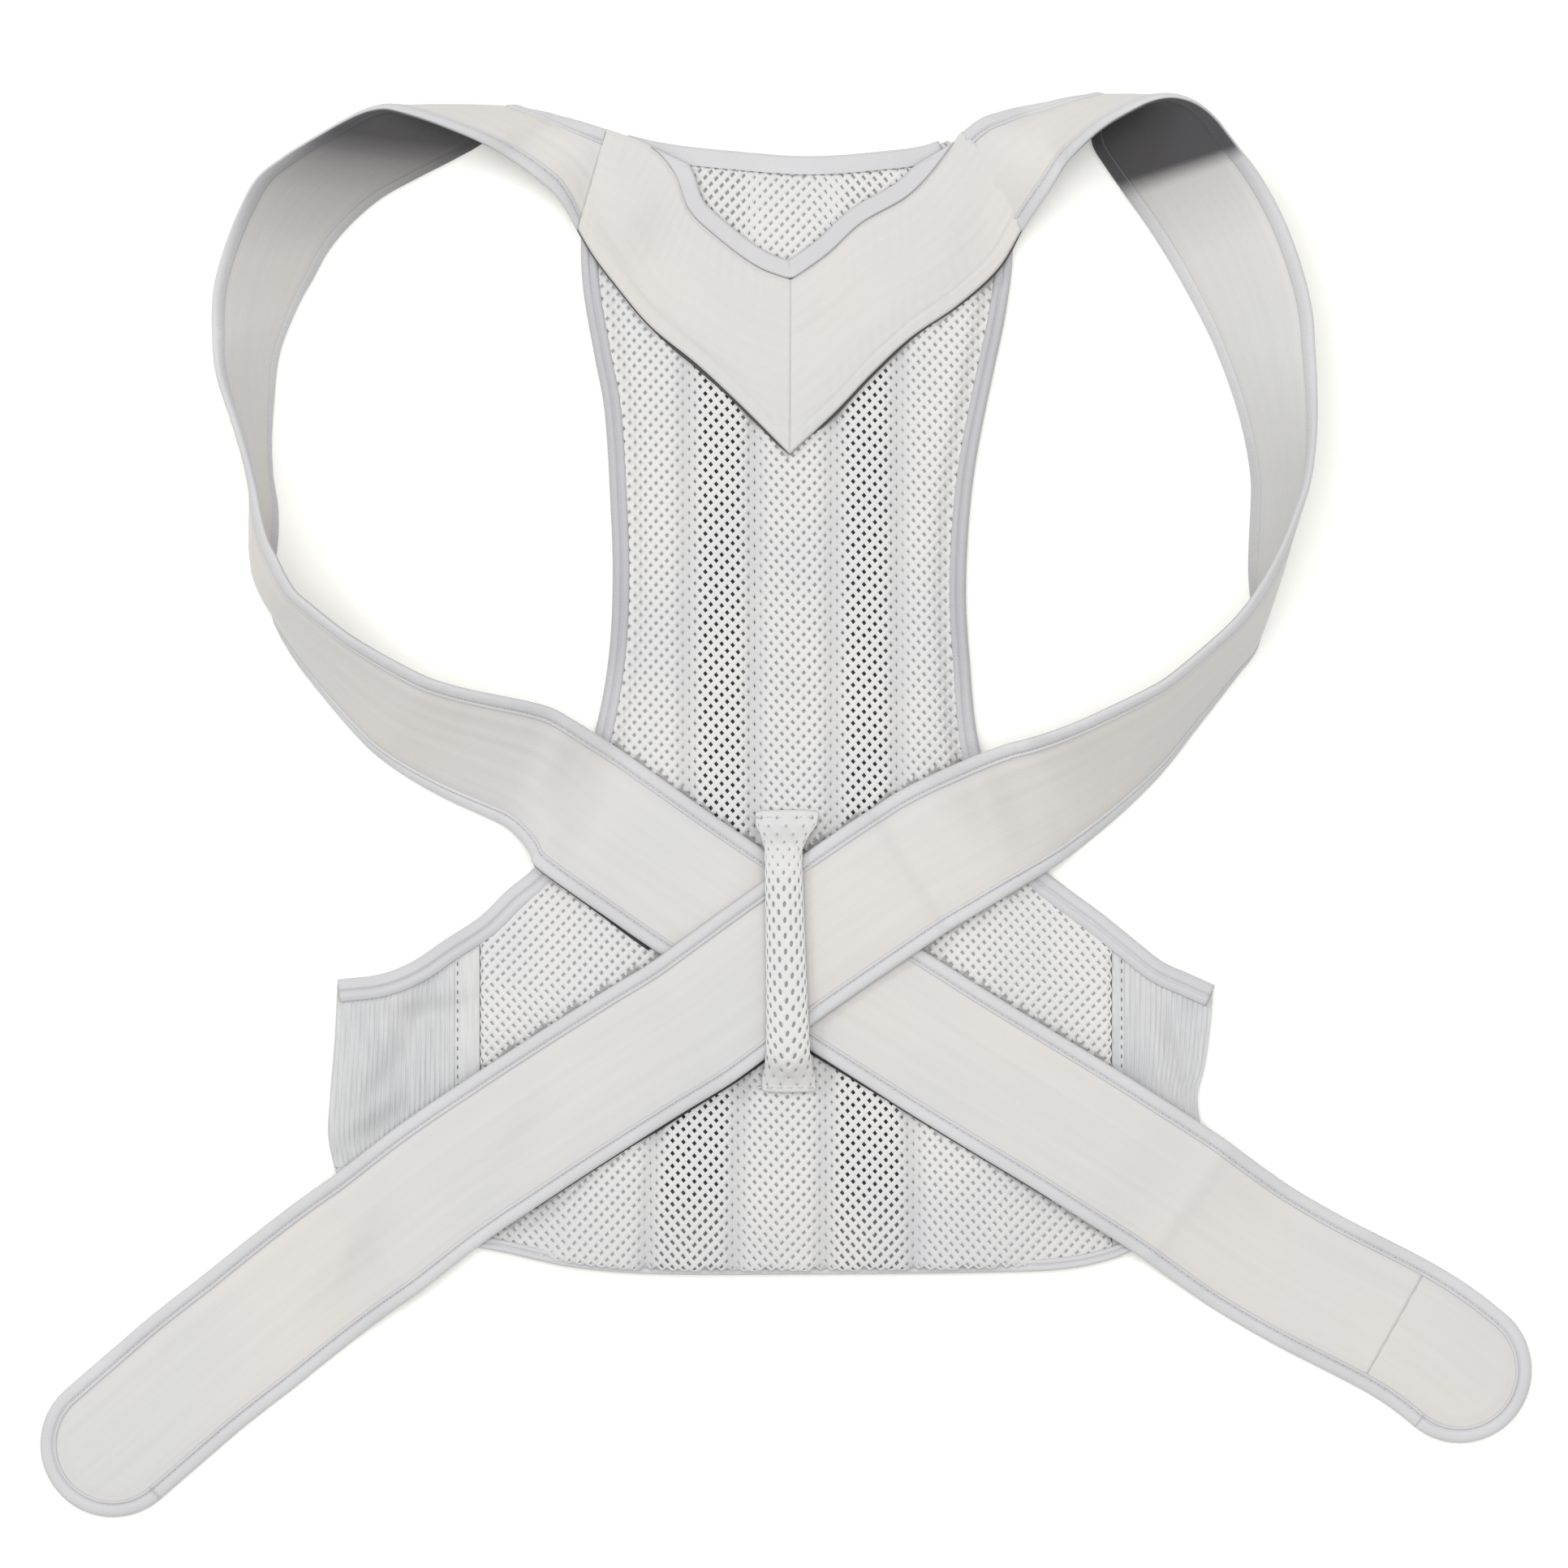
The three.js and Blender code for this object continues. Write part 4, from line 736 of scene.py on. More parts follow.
def edge_tape_piece(name, path, side, round_end):
    """side is 1 for the arm edge and -1 for the outer edge of the strap."""
    inset = np.linalg.norm(path["across"], axis=1)[:, None] / 2 - TAPE_WIDTH
    offsets = side * (inset + TAPE_SECTION[None, :, 0])
    walked = path["walked"][:, None]
    on_band = np.abs(TAPE_SECTION[:, 0] - TAPE_WIDTH / 2) < 2
    puckers = TAPE_PUCKER * np.sin(walked * 0.9 + 2 * np.sin(walked / 23)) * on_band
    rings = strap_points(path, offsets, np.broadcast_to(TAPE_SECTION[:, 1], offsets.shape) + puckers)
    if round_end:
        last = {key: path[key][-1] for key in path}
        along = unit(last["along"] * np.array([1, 1, 0]))
        turns = np.linspace(0, math.pi, END_TURNS + 1)[1:]
        way = np.outer(np.cos(turns), unit(last["across"])) + np.outer(np.sin(turns), along)
        reach = STRAP_WIDTH / 2 - TAPE_WIDTH + TAPE_SECTION[:, 0]
        end = (last["centre"] + way[:, None] * reach[None, :, None]
               + (last["out"] * TAPE_SECTION[:, 1:2])[None])
        rings = np.concatenate([rings, end])
    piece = loft(name, rings, TAPE_SECTION[:, 0])
    # The tape's underside gets the same painted shade as the lining.
    table = np.array(LEFT_LINING_SHADE if name.startswith("left") else RIGHT_LINING_SHADE)
    rows = np.interp(path["row"], table[:, 0], table[:, 1])
    rows = np.concatenate([rows, np.full(len(rings) - len(rows), rows[-1])])
    keep_value(piece, "shade", rows[:, None] * (TAPE_SECTION[:, 1] < TAPE_UNDERSIDE))
    piece.data.materials.append(edge_tape)
    return piece


for side_name, path in straps.items():
    for edge_name, side, round_end in (("arm", 1, True), ("outer", -1, False)):
        tape = edge_tape_piece(f"{side_name}_{edge_name}_edge_tape", path, side, round_end)
        pieces[f"{side_name}_strap_{edge_name}_binding"] = tape
for name, piece in pieces.items():
    print(f"{name}: {len(piece.data.polygons)} faces")

# %% [markdown]
# ## The tapes round the panel
# The panel's long sides, its lower edge and its neck are bound with wider tapes. Each is a flat
# folded band between two lines in plan, sewn down along its inner edge, so the same loft is used
# with a cross-section given as shares of the band's width.

# %% The panel's edge tapes
# Columns: share of the width from the outer edge, and height as a share of the thickness.
BAND_SECTION = np.array([
    (0, 0.45), (0.03, 0.72), (0.1, 0.92), (0.22, 1), (0.36, 1), (0.46, 0.96), (0.52, 0.84), (0.57, 0.84),
    (0.63, 0.97), (0.76, 0.98), (0.88, 0.96), (0.95, 0.9), (0.99, 0.8), (1, 0.6), (0.99, 0.25), (0.92, 0.05),
    (0.5, 0), (0.1, 0.05), (0.01, 0.2),
])
BAND_TOP = 0.7
BAND_PUCKER = 0.07
PLAIN_TOP = 0.98
BAND_PATTERN_WIDTH = 7
WING_FOLD_HEIGHT = 0.3
WING_FOLD_WAVES = 19
WING_FOLDS_SET_IN = (0.62, 0.9)
# How much dimmer the side tapes are at the waist, and where up the panel that fades in and out.
WAIST_DIMMER = 0.2
WAIST_DIMMER_FROM = (190, 260)
WAIST_DIMMER_TO = (370, 420)


def flat_tape(name, outer, inner, bottom, thickness, finish, folds=0.0, grooved=True, dimmed=0.0):
    """A tape between two lines in plan. Folds is the height of lengthwise folds near its far end."""
    share = BAND_SECTION[:, 0][None, :, None]
    section = BAND_SECTION[:, 1]
    if not grooved:
        section = np.where(section > 0.8, PLAIN_TOP, section)
    plan = outer[:, None, :2] * (1 - share) + inner[:, None, :2] * share
    length = np.linalg.norm(np.diff(outer, axis=0), axis=1).sum()
    walked = np.linspace(0, 1, len(outer))[:, None] * length
    top = section > BAND_TOP
    height = bottom + thickness * section * np.ones((len(outer), 1))
    height += top * (BAND_PUCKER * np.sin(walked * 0.8 + 1.7 * np.sin(walked / 19)))
    if folds:
        set_in = ramp(walked, length * WING_FOLDS_SET_IN[0], length * WING_FOLDS_SET_IN[1])
        lengthwise = np.sin(BAND_SECTION[:, 0] * WING_FOLD_WAVES) * set_in
        height += top * folds * lengthwise
    piece = loft(name, np.dstack([plan, height]), BAND_SECTION[:, 0] * BAND_PATTERN_WIDTH)
    keep_value(piece, "shade", np.ones_like(height) * np.reshape(dimmed, (-1, 1)))
    piece.data.materials.append(finish)
    return piece


along_side = ramp(np.linspace(0, 1, SIDE_STEPS + 1), 0.55, 0.8)
side_width = SIDE_TAPE_WIDTH + (WING_TAPE_WIDTH - SIDE_TAPE_WIDTH) * along_side
for side_name, outer, turn in (("left", left_side, 1), ("right", right_side, -1)):
    up = outer[:, 1]
    dimmed = WAIST_DIMMER * ramp(up, *WAIST_DIMMER_FROM) * (1 - ramp(up, *WAIST_DIMMER_TO))
    pieces[f"{side_name}_side_binding"] = flat_tape(
        f"{side_name}_side_tape", outer, beside(outer, turn * side_width), 0, SIDE_TAPE_THICKNESS,
        side_tape, folds=WING_FOLD_HEIGHT, dimmed=dimmed)
pieces["bottom_binding"] = flat_tape(
    "bottom_tape", bottom_edge, beside(bottom_edge, BOTTOM_TAPE_WIDTH), 0, SIDE_TAPE_THICKNESS, edge_tape)
# The neck tape starts and stops under the yoke.
under_yoke = slice(6, -6)
neck_inner = beside(neck_edge, -NECK_TAPE_WIDTH)
pieces["neck_binding"] = flat_tape(
    "neck_tape", neck_edge[under_yoke], neck_inner[under_yoke], 0, PANEL_THICKNESS, edge_tape, grooved=False)

# %% [markdown]
# ## The padded yoke
# Two padded arms meet in a V at the middle of the back. Each arm starts as a flat sheet cut to its
# outline. Cloth simulation blows it up from inside while its sewn rim is held, which gives the
# swell of real padding, and the movement is capped to the thickness that the solid has.

# %% The yoke's arms
YOKE_LENGTH_STEPS = 130
YOKE_ACROSS_STEPS = 70
YOKE_COARSER = 3
YOKE_RIM = 2.3
YOKE_SWELL = 1.5
STRAP_END_RISE = 1.0
# How much of a full swell the simulation's own highest place stands for.
SWELL_GAIN = 1.25
# Lines sewn into the arms. Each gives its distance from its edge, its half width and its depth.
NECK_EDGE_LINE = (1.2, 0.5, 0.4)
ARM_EDGE_LINE = (6, 0.6, 0.4)
MIDDLE_SEAM = (0, 0.6, 0.12)
STRAP_SEAM = (0.8, 0.25)
RIM_TURNS_DOWN = 0.9
END_TURNS_DOWN = 0.5
FOOT_BELOW_LIP = 0.2
FOOT_HEIGHT = 0.15
# Painted shade in the dents, for each millimetre of their depth, and at most.
DENT_SHADE = 0.14
MOST_DENT_SHADE = 0.12
# How far the seam to the strap bows: out over the strap on one arm, and inward on the other.
SEAM_BOW = {1: -4.0, -1: 4.5}
# How far the foot of each arm, painted black as the shadow in the gap under it, shows past its arm-side edge,
# by place up the panel.
LEFT_SHADOW_FOOT = [(322, 0.1), (327, 0.9), (348, 1.1), (356, 1.4), (364, 1.3), (372, 0.5), (409, 0.6)]
RIGHT_SHADOW_FOOT = [(330, 0.1), (334, 1.1), (362, 1.1), (375, 0.6), (388, 0.9), (403, 0.8), (412, 0.3)]
# Dents in the padding. Columns as for the straps' creases.
YOKE_DENTS = [
    (-56, 410, 70, 13, 9, 0.55), (-68, 402, -59, 20, 2.2, 0.35), (-36, 366, -40, 44, 1.6, 0.2),
    (20, 392, 52, 16, 5, -0.3), (12, 380, 60, 15, 3, 0.25), (34, 352, 40, 30, 1.6, 0.2),
    (2, 366, 90, 30, 2.5, -0.2), (70, 408, 80, 20, 7, 0.25),
]


BLOWING_STEPS = 20
BLOWING_PRESSURE = 4.0


def blown_up(grid):
    """Heights that cloth simulation gives a sheet whose rim is held, as shares of the most."""
    rows, columns = grid.shape[:2]
    index = np.arange(rows * columns).reshape(rows, columns)
    quads = np.stack([index[:-1, :-1], index[1:, :-1], index[1:, 1:], index[:-1, 1:]], -1).reshape(-1, 4)
    sheet = new_piece("sheet_to_blow_up", grid.reshape(-1, 3), quads.tolist())
    rim = np.concatenate([index[0], index[-1], index[:, 0], index[:, -1]])
    held = sheet.vertex_groups.new(name="sewn rim")
    held.add(np.unique(rim).tolist(), 1.0, "REPLACE")
    cloth = sheet.modifiers.new("pressure", "CLOTH")
    cloth.settings.use_pressure = True
    cloth.settings.uniform_pressure_force = BLOWING_PRESSURE
    cloth.settings.effector_weights.gravity = 0
    cloth.settings.vertex_group_mass = "sewn rim"
    cloth.settings.mass = 0.02
    cloth.settings.quality = 6
    cloth.point_cache.frame_start = 1
    cloth.point_cache.frame_end = BLOWING_STEPS
    for step in range(1, BLOWING_STEPS + 1):
        scene.frame_set(step)
    grown = sheet.evaluated_get(bpy.context.evaluated_depsgraph_get())
    after = np.empty(rows * columns * 3)
    grown.data.vertices.foreach_get("co", after)
    lift = (after.reshape(rows, columns, 3)[..., 2] * 1000 - SHIFT[2]) - grid[..., 2]
    scene.frame_set(1)
    bpy.data.objects.remove(sheet)
    print(f"the sheet rose {np.abs(lift).max():.2f} mm")
    return np.abs(lift) / max(np.abs(lift).max(), 1e-6)


def finer(values, rows, columns):
    """A grid of values stretched to more rows and columns."""
    row_places = np.linspace(0, values.shape[0] - 1, rows)
    column_places = np.linspace(0, values.shape[1] - 1, columns)
    wide = np.array([np.interp(column_places, np.arange(values.shape[1]), row) for row in values])
    return np.array([np.interp(row_places, np.arange(values.shape[0]), column) for column in wide.T]).T


def pressed_line(distance, place, half_width, depth):
    return depth * np.exp(-(((distance - place) / half_width) ** 2))


def yoke_arm(name, lines, shadow_foot_table, side):
    """One arm. The side is 1 for the left arm and -1 for the right one."""
    places = np.linspace(0, len(lines[0]) - 1, YOKE_LENGTH_STEPS + 1)
    inner, outer = curve_at(lines[0], places), curve_at(lines[1], places)
    # The columns lie a little closer at both edges, where the rim turns down.
    share = (1 - np.cos(np.linspace(0, math.pi, YOKE_ACROSS_STEPS + 1))) / 2
    share = 0.5 * share + 0.5 * np.linspace(0, 1, YOKE_ACROSS_STEPS + 1)
    plan = inner[:, None] * (1 - share)[:, None] + outer[:, None] * share[:, None]
    flat = np.dstack([plan, np.full(plan.shape[:2], ON_PANEL + YOKE_RIM)])
    coarse = blown_up(flat[::YOKE_COARSER, ::YOKE_COARSER].copy())
    swell = np.minimum(finer(coarse, *flat.shape[:2]) * SWELL_GAIN, 1)
    width = np.linalg.norm(outer - inner, axis=1)[:, None]
    from_edge = np.minimum(share, 1 - share)[None, :] * width
    height = YOKE_RIM + YOKE_SWELL * swell
    height -= pressed_line(share * width, *NECK_EDGE_LINE)
    height -= pressed_line((1 - share) * width, *ARM_EDGE_LINE)
    height -= RIM_TURNS_DOWN * (1 - ramp(from_edge, 0, RIM_TURNS_DOWN))
    height -= dent_depth(plan, YOKE_DENTS) * ramp(from_edge, 0, 5)
    start = np.linalg.norm((plan - plan[:1]), axis=2)
    height -= pressed_line(start, *MIDDLE_SEAM)
    toward_strap = ramp(places / places[-1], 0.8, 1)[:, None]
    height += STRAP_END_RISE * toward_strap
    # The seam to the strap is a soft arc: the end bows out over the strap, or a groove bows in.
    bow = np.sin(np.pi * share)[None, :, None] * SEAM_BOW[side]
    carried_on = (0.6 + np.maximum(bow, 0)) * (toward_strap[..., None] ** 4)
    plan = plan + unit(plan[-1] - plan[-2])[None] * carried_on
    from_end = np.linalg.norm(plan - plan[-1:], axis=2)
    inward = -min(SEAM_BOW[side], 0) * (0.3 + 1.4 * share[None, :] ** 2)
    if SEAM_BOW[side] < 0:
        height -= pressed_line(from_end, inward, *STRAP_SEAM)
    height[-1] -= END_TURNS_DOWN
    top = np.dstack([plan, ON_PANEL + height])
    under = np.dstack([plan, np.full(plan.shape[:2], ON_PANEL)])
    reach = np.interp(outer[:, 1], *np.transpose(shadow_foot_table))
    foot = beside(plan[:, -1], side * reach)
    lip = np.dstack([plan[:, -1:], ON_PANEL + height[:, -1:] - FOOT_BELOW_LIP])
    foot = np.dstack([foot[:, None], np.full((len(places), 1), ON_PANEL + FOOT_HEIGHT)])
    rings = np.concatenate([top, lip, foot, under[:, ::-1]], 1)
    across_mm = share[None, :] * width
    piece = loft(name, rings, np.concatenate([across_mm, width, width, across_mm[:, ::-1]], 1))
    # Painted shade in the dents; the lip and the foot are painted black as the shadow of the gap under the
    # arm's edge.
    soft = np.clip(dent_depth(plan, YOKE_DENTS) * DENT_SHADE, 0, MOST_DENT_SHADE)
    dark = np.ones((len(places), 2))
    keep_value(piece, "shade", np.concatenate([soft, dark, np.zeros_like(soft)], 1))
    piece.data.materials.append(yoke_cloth)
    return piece


# The arms are sewn together, so here they close the gap that their solids keep.
SEAM_CLOSED = 0.32
pieces["yoke_left"] = yoke_arm("yoke_left_arm", yoke_lines(LEFT_YOKE, SEAM_CLOSED), LEFT_SHADOW_FOOT, 1)
pieces["yoke_right"] = yoke_arm("yoke_right_arm", yoke_lines(RIGHT_YOKE, -SEAM_CLOSED), RIGHT_SHADOW_FOOT, -1)

# %% [markdown]
# ## The tape along the yoke's V
# The neck side of the yoke is bound with the same folded tape as the straps, laid flat along
# the V. At the point of the V the tape turns in a soft corner.

# %% The yoke's tape
def yoke_seam():
    """The neck side of both arms, from the left shoulder down to the V and up to the right one."""
    left = curve_at(left_yoke[0], np.linspace(5.0, 0, 100))
    right = curve_at(right_yoke[0], np.linspace(0, 5.5, 100))
    return np.vstack([left, right])


v_line = even_steps(yoke_seam(), 150)
for _ in range(3):
    v_line[1:-1] = (v_line[:-2] + v_line[1:-1] + v_line[2:]) / 3
V_TAPE_OVERLAP = 0.1
V_TAPE_WIDTH = TAPE_WIDTH + 0.6
v_inner = beside(v_line, V_TAPE_OVERLAP)
v_outer = beside(v_line, V_TAPE_WIDTH)
# At both ends the tape runs in under the neck tape, so its free edge stops at that tape's lower line.
neck_y = np.interp(v_outer[:, 0], neck_inner[:, 0], neck_inner[:, 1])
free = np.nonzero(v_outer[:, 1] < neck_y + 0.5)[0]
v_outer[: free[0]] = v_outer[free[0]]
v_outer[free[-1] + 1 :] = v_outer[free[-1]]
pieces["yoke_binding"] = flat_tape(
    "yoke_tape", v_outer[::-1], v_inner[::-1], ON_PANEL, TAPE_THICKNESS, edge_tape, grooved=False)

# %% [markdown]
# ## The spacer mesh of the back panel
# Spacer mesh is a thick knit with rows of small open holes, and it is sewn in channels over stays.
# Drawing thousands of holes by hand is hopeless, so the top is first cut into staggered diamonds,
# one for each hole, and Geometry Nodes sink a hole into each. How wide a hole opens, how it leans
# and how dark its bottom is are values kept on the diamonds: wide and dark over the two open
# channels, narrow at the seams, and long slanted slots beside the wings and at the neck.

# %% The panel's outline and height
CELL_WIDTH = 4.3
CELL_HEIGHT = 5.0
CHANNEL_SEAMS = np.array([(-0.566, -0.32), (-0.184, -0.12), (0.262, 0.083), (0.634, 0.289)])
CHANNEL_DEPTH = 2.6
CHANNEL_HALF_WIDTH = 6
CHANNELS_SPREAD_FROM = 0.42
CHANNELS_FADE = (0.78, 0.88)
UNDER_PANEL_TAPE = 1.6
ROUNDING_HEIGHT = PANEL_THICKNESS - SIDE_TAPE_THICKNESS + 0.9
TUCKED_UNDER_NECK = 1.5

left_elastic_edge = -HALF_WING * 1.02 + ELASTIC_WIDTH
right_elastic_edge = HALF_WING * 0.95 - ELASTIC_WIDTH * 0.7
left_mesh_edge = left_elastic_edge + SEAM_STRIP_WIDTH
right_mesh_edge = right_elastic_edge - RIGHT_SEAM_STRIP_WIDTH


def panel_outline():
    """The mesh's own edge: a little inside the outer edge of its tapes, and straight at the wings."""
    left = beside(left_side, UNDER_PANEL_TAPE)
    right = beside(right_side, -UNDER_PANEL_TAPE)
    low = beside(bottom_edge, UNDER_PANEL_TAPE)
    neck = beside(neck_edge, -UNDER_PANEL_TAPE)
    left = left[left[:, 0] > left_mesh_edge]
    right = right[right[:, 0] < right_mesh_edge]
    low = low[(low[:, 0] > left_mesh_edge) & (low[:, 0] < right_mesh_edge)]
    neck = neck[(neck[:, 0] > left[0, 0]) & (neck[:, 0] < right[0, 0])]
    return np.vstack([left, low, right[::-1], neck[::-1]])


def seams_at(y):
    """Where the channel seams lie across the panel. They spread toward the bottom edge."""
    spread = 1 - ramp(y, 0, CHANNELS_SPREAD_FROM * PANEL_LENGTH)
    waist, low = CHANNEL_SEAMS[:, 0] * HALF_WAIST, CHANNEL_SEAMS[:, 1] * HALF_WING
    return waist + (low - waist) * np.asarray(spread)[..., None]


def edge_line(side_line, y):
    """Where a side of the panel lies across it."""
    order = np.argsort(side_line[:, 1])
    return np.interp(y, side_line[order, 1], side_line[order, 0])


def panel_height(x, y):
    """The top of the mesh: full in the channels, lower at seams and under the tapes, thin at the wings."""
    nearest = np.abs(x[..., None] - seams_at(y)).min(-1)
    fade = 1 - ramp(y, CHANNELS_FADE[0] * PANEL_LENGTH, CHANNELS_FADE[1] * PANEL_LENGTH)
    groove = CHANNEL_DEPTH * fade * np.clip(1 - nearest / CHANNEL_HALF_WIDTH, 0, 1) ** 1.5
    to_wing = ramp(np.abs(x), HALF_WAIST * 0.95, HALF_WING * 0.62)
    left = np.maximum(edge_line(left_side, y) + SIDE_TAPE_WIDTH, left_mesh_edge)
    right = np.minimum(edge_line(right_side, y) - SIDE_TAPE_WIDTH, right_mesh_edge)
    edge = np.minimum(x - left, right - x) / CHANNEL_HALF_WIDTH
    rounding = (1 - ramp(edge, 0.1, 1.2)) * ROUNDING_HEIGHT
    neck_line = np.interp(x, neck_edge[:, 0], neck_edge[:, 1]) - NECK_TAPE_WIDTH
    tucked = TUCKED_UNDER_NECK * ramp(y - neck_line, -1.5, 0.3)
    full = PANEL_THICKNESS + (WING_THICKNESS - PANEL_THICKNESS) * to_wing
    return np.maximum(full - groove - np.maximum(rounding, tucked), WING_THICKNESS)


def inside(points, outline):
    """Which points lie inside a closed outline, by counting the edges on their right."""
    within = np.zeros(len(points), bool)
    x, y = points[:, 0], points[:, 1]
    for (x1, y1), (x2, y2) in zip(outline, np.roll(outline, -1, 0)):
        if y1 != y2:
            crosses = ((y1 > y) != (y2 > y)) & (x < (x2 - x1) * (y - y1) / (y2 - y1) + x1)
            within ^= crosses
    return within


def distance_to(points, line, closed=False):
    """Distance from each point to a line, and the nearest point on it."""
    ends = np.roll(line, -1, 0) if closed else line[1:]
    starts = line if closed else line[:-1]
    best = np.full(len(points), 1e9)
    nearest = points.copy()
    for a, b in zip(starts, ends):
        way = b - a
        share = np.clip(((points - a) @ way) / max(way @ way, 1e-12), 0, 1)
        on_line = a + share[:, None] * way
        far = np.linalg.norm(points - on_line, axis=1)
        closer = far < best
        best[closer], nearest[closer] = far[closer], on_line[closer]
    return best, nearest


outline = panel_outline()
print(f"outline of {len(outline)} points, {np.ptp(outline[:, 0]):.0f} x {np.ptp(outline[:, 1]):.0f} mm")

# %% [markdown]
# ### Diamonds, one for each hole
# The diamonds come from a lattice of points in which every second row is shifted by half a step.
# Points that fall outside the outline are drawn in to it, so that the cut edge is clean, and the
# sheet is closed with a flat back of the same diamonds.

# %% Cut the panel into diamonds
ROW_TILT = -0.12
LATTICE_REACH = 320
LATTICE_HEIGHT = 480


def diamond_sheet():
    across = int(LATTICE_REACH / CELL_WIDTH)
    up = int(LATTICE_HEIGHT / CELL_HEIGHT)
    columns = np.arange(-across, across + 1)
    rows = np.arange(-3, 2 * up)
    grid_c, grid_r = np.meshgrid(columns, rows, indexing="ij")
    x = grid_c * CELL_WIDTH / 2
    y = grid_r * CELL_HEIGHT / 2 + ROW_TILT * x
    corners = np.stack([x, y], -1)
    centre = (grid_c + grid_r) % 2 == 0
    centre[0], centre[-1], centre[:, 0], centre[:, -1] = False, False, False, False
    index = np.arange(x.size).reshape(x.shape)
    c, r = np.nonzero(centre)
    keep = inside(corners[c, r], outline)
    c, r = c[keep], r[keep]
    quads = np.stack([index[c - 1, r], index[c, r - 1], index[c + 1, r], index[c, r + 1]], -1)
    used, renamed = np.unique(quads, return_inverse=True)
    points = corners.reshape(-1, 2)[used]
    return points, renamed.reshape(quads.shape), corners[c, r]


sheet_points, diamonds, hole_centres = diamond_sheet()
outside = ~inside(sheet_points, outline)
_, drawn_in = distance_to(sheet_points[outside], outline, closed=True)
sheet_points[outside] = drawn_in
print(f"{len(diamonds)} holes to make")

# %% [markdown]
# ### What each hole is like
# The values follow the zones of the real mesh. Near a channel seam the holes are narrow; the second
# and the fourth channel are open and dark; toward the wings and in the neck the knit is stretched
# aslant. Each zone fades in between two places, so that no border shows.

# %% Values for the holes
OPEN_CHANNELS = (1, 3)
MIDDLE_CHANNEL = 2
NECK_ZONE = (0.86 * PANEL_LENGTH, 0.9 * PANEL_LENGTH)
# How dark a hole is in an open channel, near its seam and what its middle adds, and elsewhere.
OPEN_DARK = 0.35
OPEN_DARK_MORE = 0.65
PALE_DARK = 0.1
MIDDLE_DARK_MORE = 0.08
NARROWEST = 0.55
MOST_STRETCH = 0.75
WING_ZONE = (76, 96)
WING_ZONE_TOP = (190, 230)
LOW_ZONE = (8, 40)
# The slant of the wings' holes turns over at one height, and that of the neck's at one place across.
WING_SLANT_TURNS = 114
NECK_SLANT_TURNS = 10
# The slants are in degrees.
WING_SLANT = 42
NECK_SLANT = 50
CHANNEL_SLANT = 48
MESH_OPENING = 0.36


def zone_values(centres):
    """How open, dark, narrow and stretched each hole is, and the way it leans."""
    x, y = centres[:, 0], centres[:, 1]
    seams = seams_at(y)
    nearest = np.abs(x[:, None] - seams).min(1)
    channel = (x[:, None] > seams).sum(1)
    neck = ramp(y, *NECK_ZONE)
    wing = ramp(np.abs(x), *WING_ZONE) * (1 - ramp(y, *WING_ZONE_TOP))
    low = 1 - ramp(y, *LOW_ZONE)
    open_channel = np.isin(channel, OPEN_CHANNELS) * (1 - wing)
    mid = ramp(nearest, 1.5, 7)
    pale = PALE_DARK + MIDDLE_DARK_MORE * (channel == MIDDLE_CHANNEL)
    dark = np.where(open_channel > 0, OPEN_DARK + OPEN_DARK_MORE * mid, pale)
    dark = dark * (1 - 0.75 * neck) * (1 - 0.45 * low) * (1 - 0.6 * wing)
    opening = np.where(open_channel > 0, MESH_OPENING + 0.06 * mid, MESH_OPENING)
    narrow = NARROWEST + (1 - NARROWEST) * ramp(nearest, 1, 5)
    slant = np.clip(neck + wing + low * 0.8 + 0.3 * (open_channel == 0), 0, 1)
    down = np.where(y > WING_SLANT_TURNS, 1.0, -1.0)
    wing_turn = np.where(x < 0, WING_SLANT, -WING_SLANT) * down
    neck_turn = np.where(x < NECK_SLANT_TURNS, NECK_SLANT, -NECK_SLANT)
    nearest_seam = seams[np.arange(len(x)), np.abs(x[:, None] - seams).argmin(1)]
    herring = np.where(x < nearest_seam, CHANNEL_SLANT, -CHANNEL_SLANT)
    turn = np.radians(np.where(neck > 0.5, neck_turn, np.where(wing > 0.5, wing_turn, herring)))
    lean = np.column_stack([np.cos(turn), np.sin(turn), np.zeros(len(x))])
    values = {"dark": np.clip(dark, 0, 1), "opening": opening * (1 - 0.25 * slant), "narrow": narrow,
              "stretch": 1 + slant * MOST_STRETCH}
    return values, lean


# How dark the painted shadow is on the mesh beside the yoke's edges, the straps' outer edges and their arm
# edges.
YOKE_GAP_SHADOW = 0.3
OUTER_GAP_SHADOW = 0.25
ARM_GAP_SHADOW = 0.45


def lying_edges(points):
    """How far each point is from the nearest edge that lies on the panel, and how dark the painted shadow of
    its gap is.
    """
    nearest = np.full(len(points), 99.0)
    gap = np.zeros(len(points))
    along_yoke = np.linspace(0, 5.6, 60)
    edges = [(curve_at(lines[1], along_yoke), YOKE_GAP_SHADOW) for lines in (left_yoke, right_yoke)]
    for path in straps.values():
        rested = np.abs(path["out"][:, 2]) > 0.93
        for edge, darkness in ((-0.5, OUTER_GAP_SHADOW), (0.5, ARM_GAP_SHADOW)):
            line = path["centre"][:, :2] + path["across"][:, :2] * edge
            edges.append((line[rested][::3], darkness))
    for line, darkness in edges:
        far, _ = distance_to(points, line)
        closer = far < nearest
        nearest[closer], gap[closer] = far[closer], darkness
    return nearest, gap


hole_values, hole_lean = zone_values(hole_centres)

# %% [markdown]
# ### The node tree that sinks the holes
# Each diamond is extruded a little way down and shrunk, which leaves four slopes round it like
# rounded thread. It is shrunk across and stretched along its slant, and then extruded down again,
# which makes the walls of the hole. The face that is left at the bottom gets the dark finish.

# %% Geometry Nodes: sink a hole into each diamond
def socket(tree, name, kind, direction="INPUT", value=None):
    made = tree.interface.new_socket(name=name, in_out=direction, socket_type=kind)
    if value is not None:
        made.default_value = value
    return made.identifier


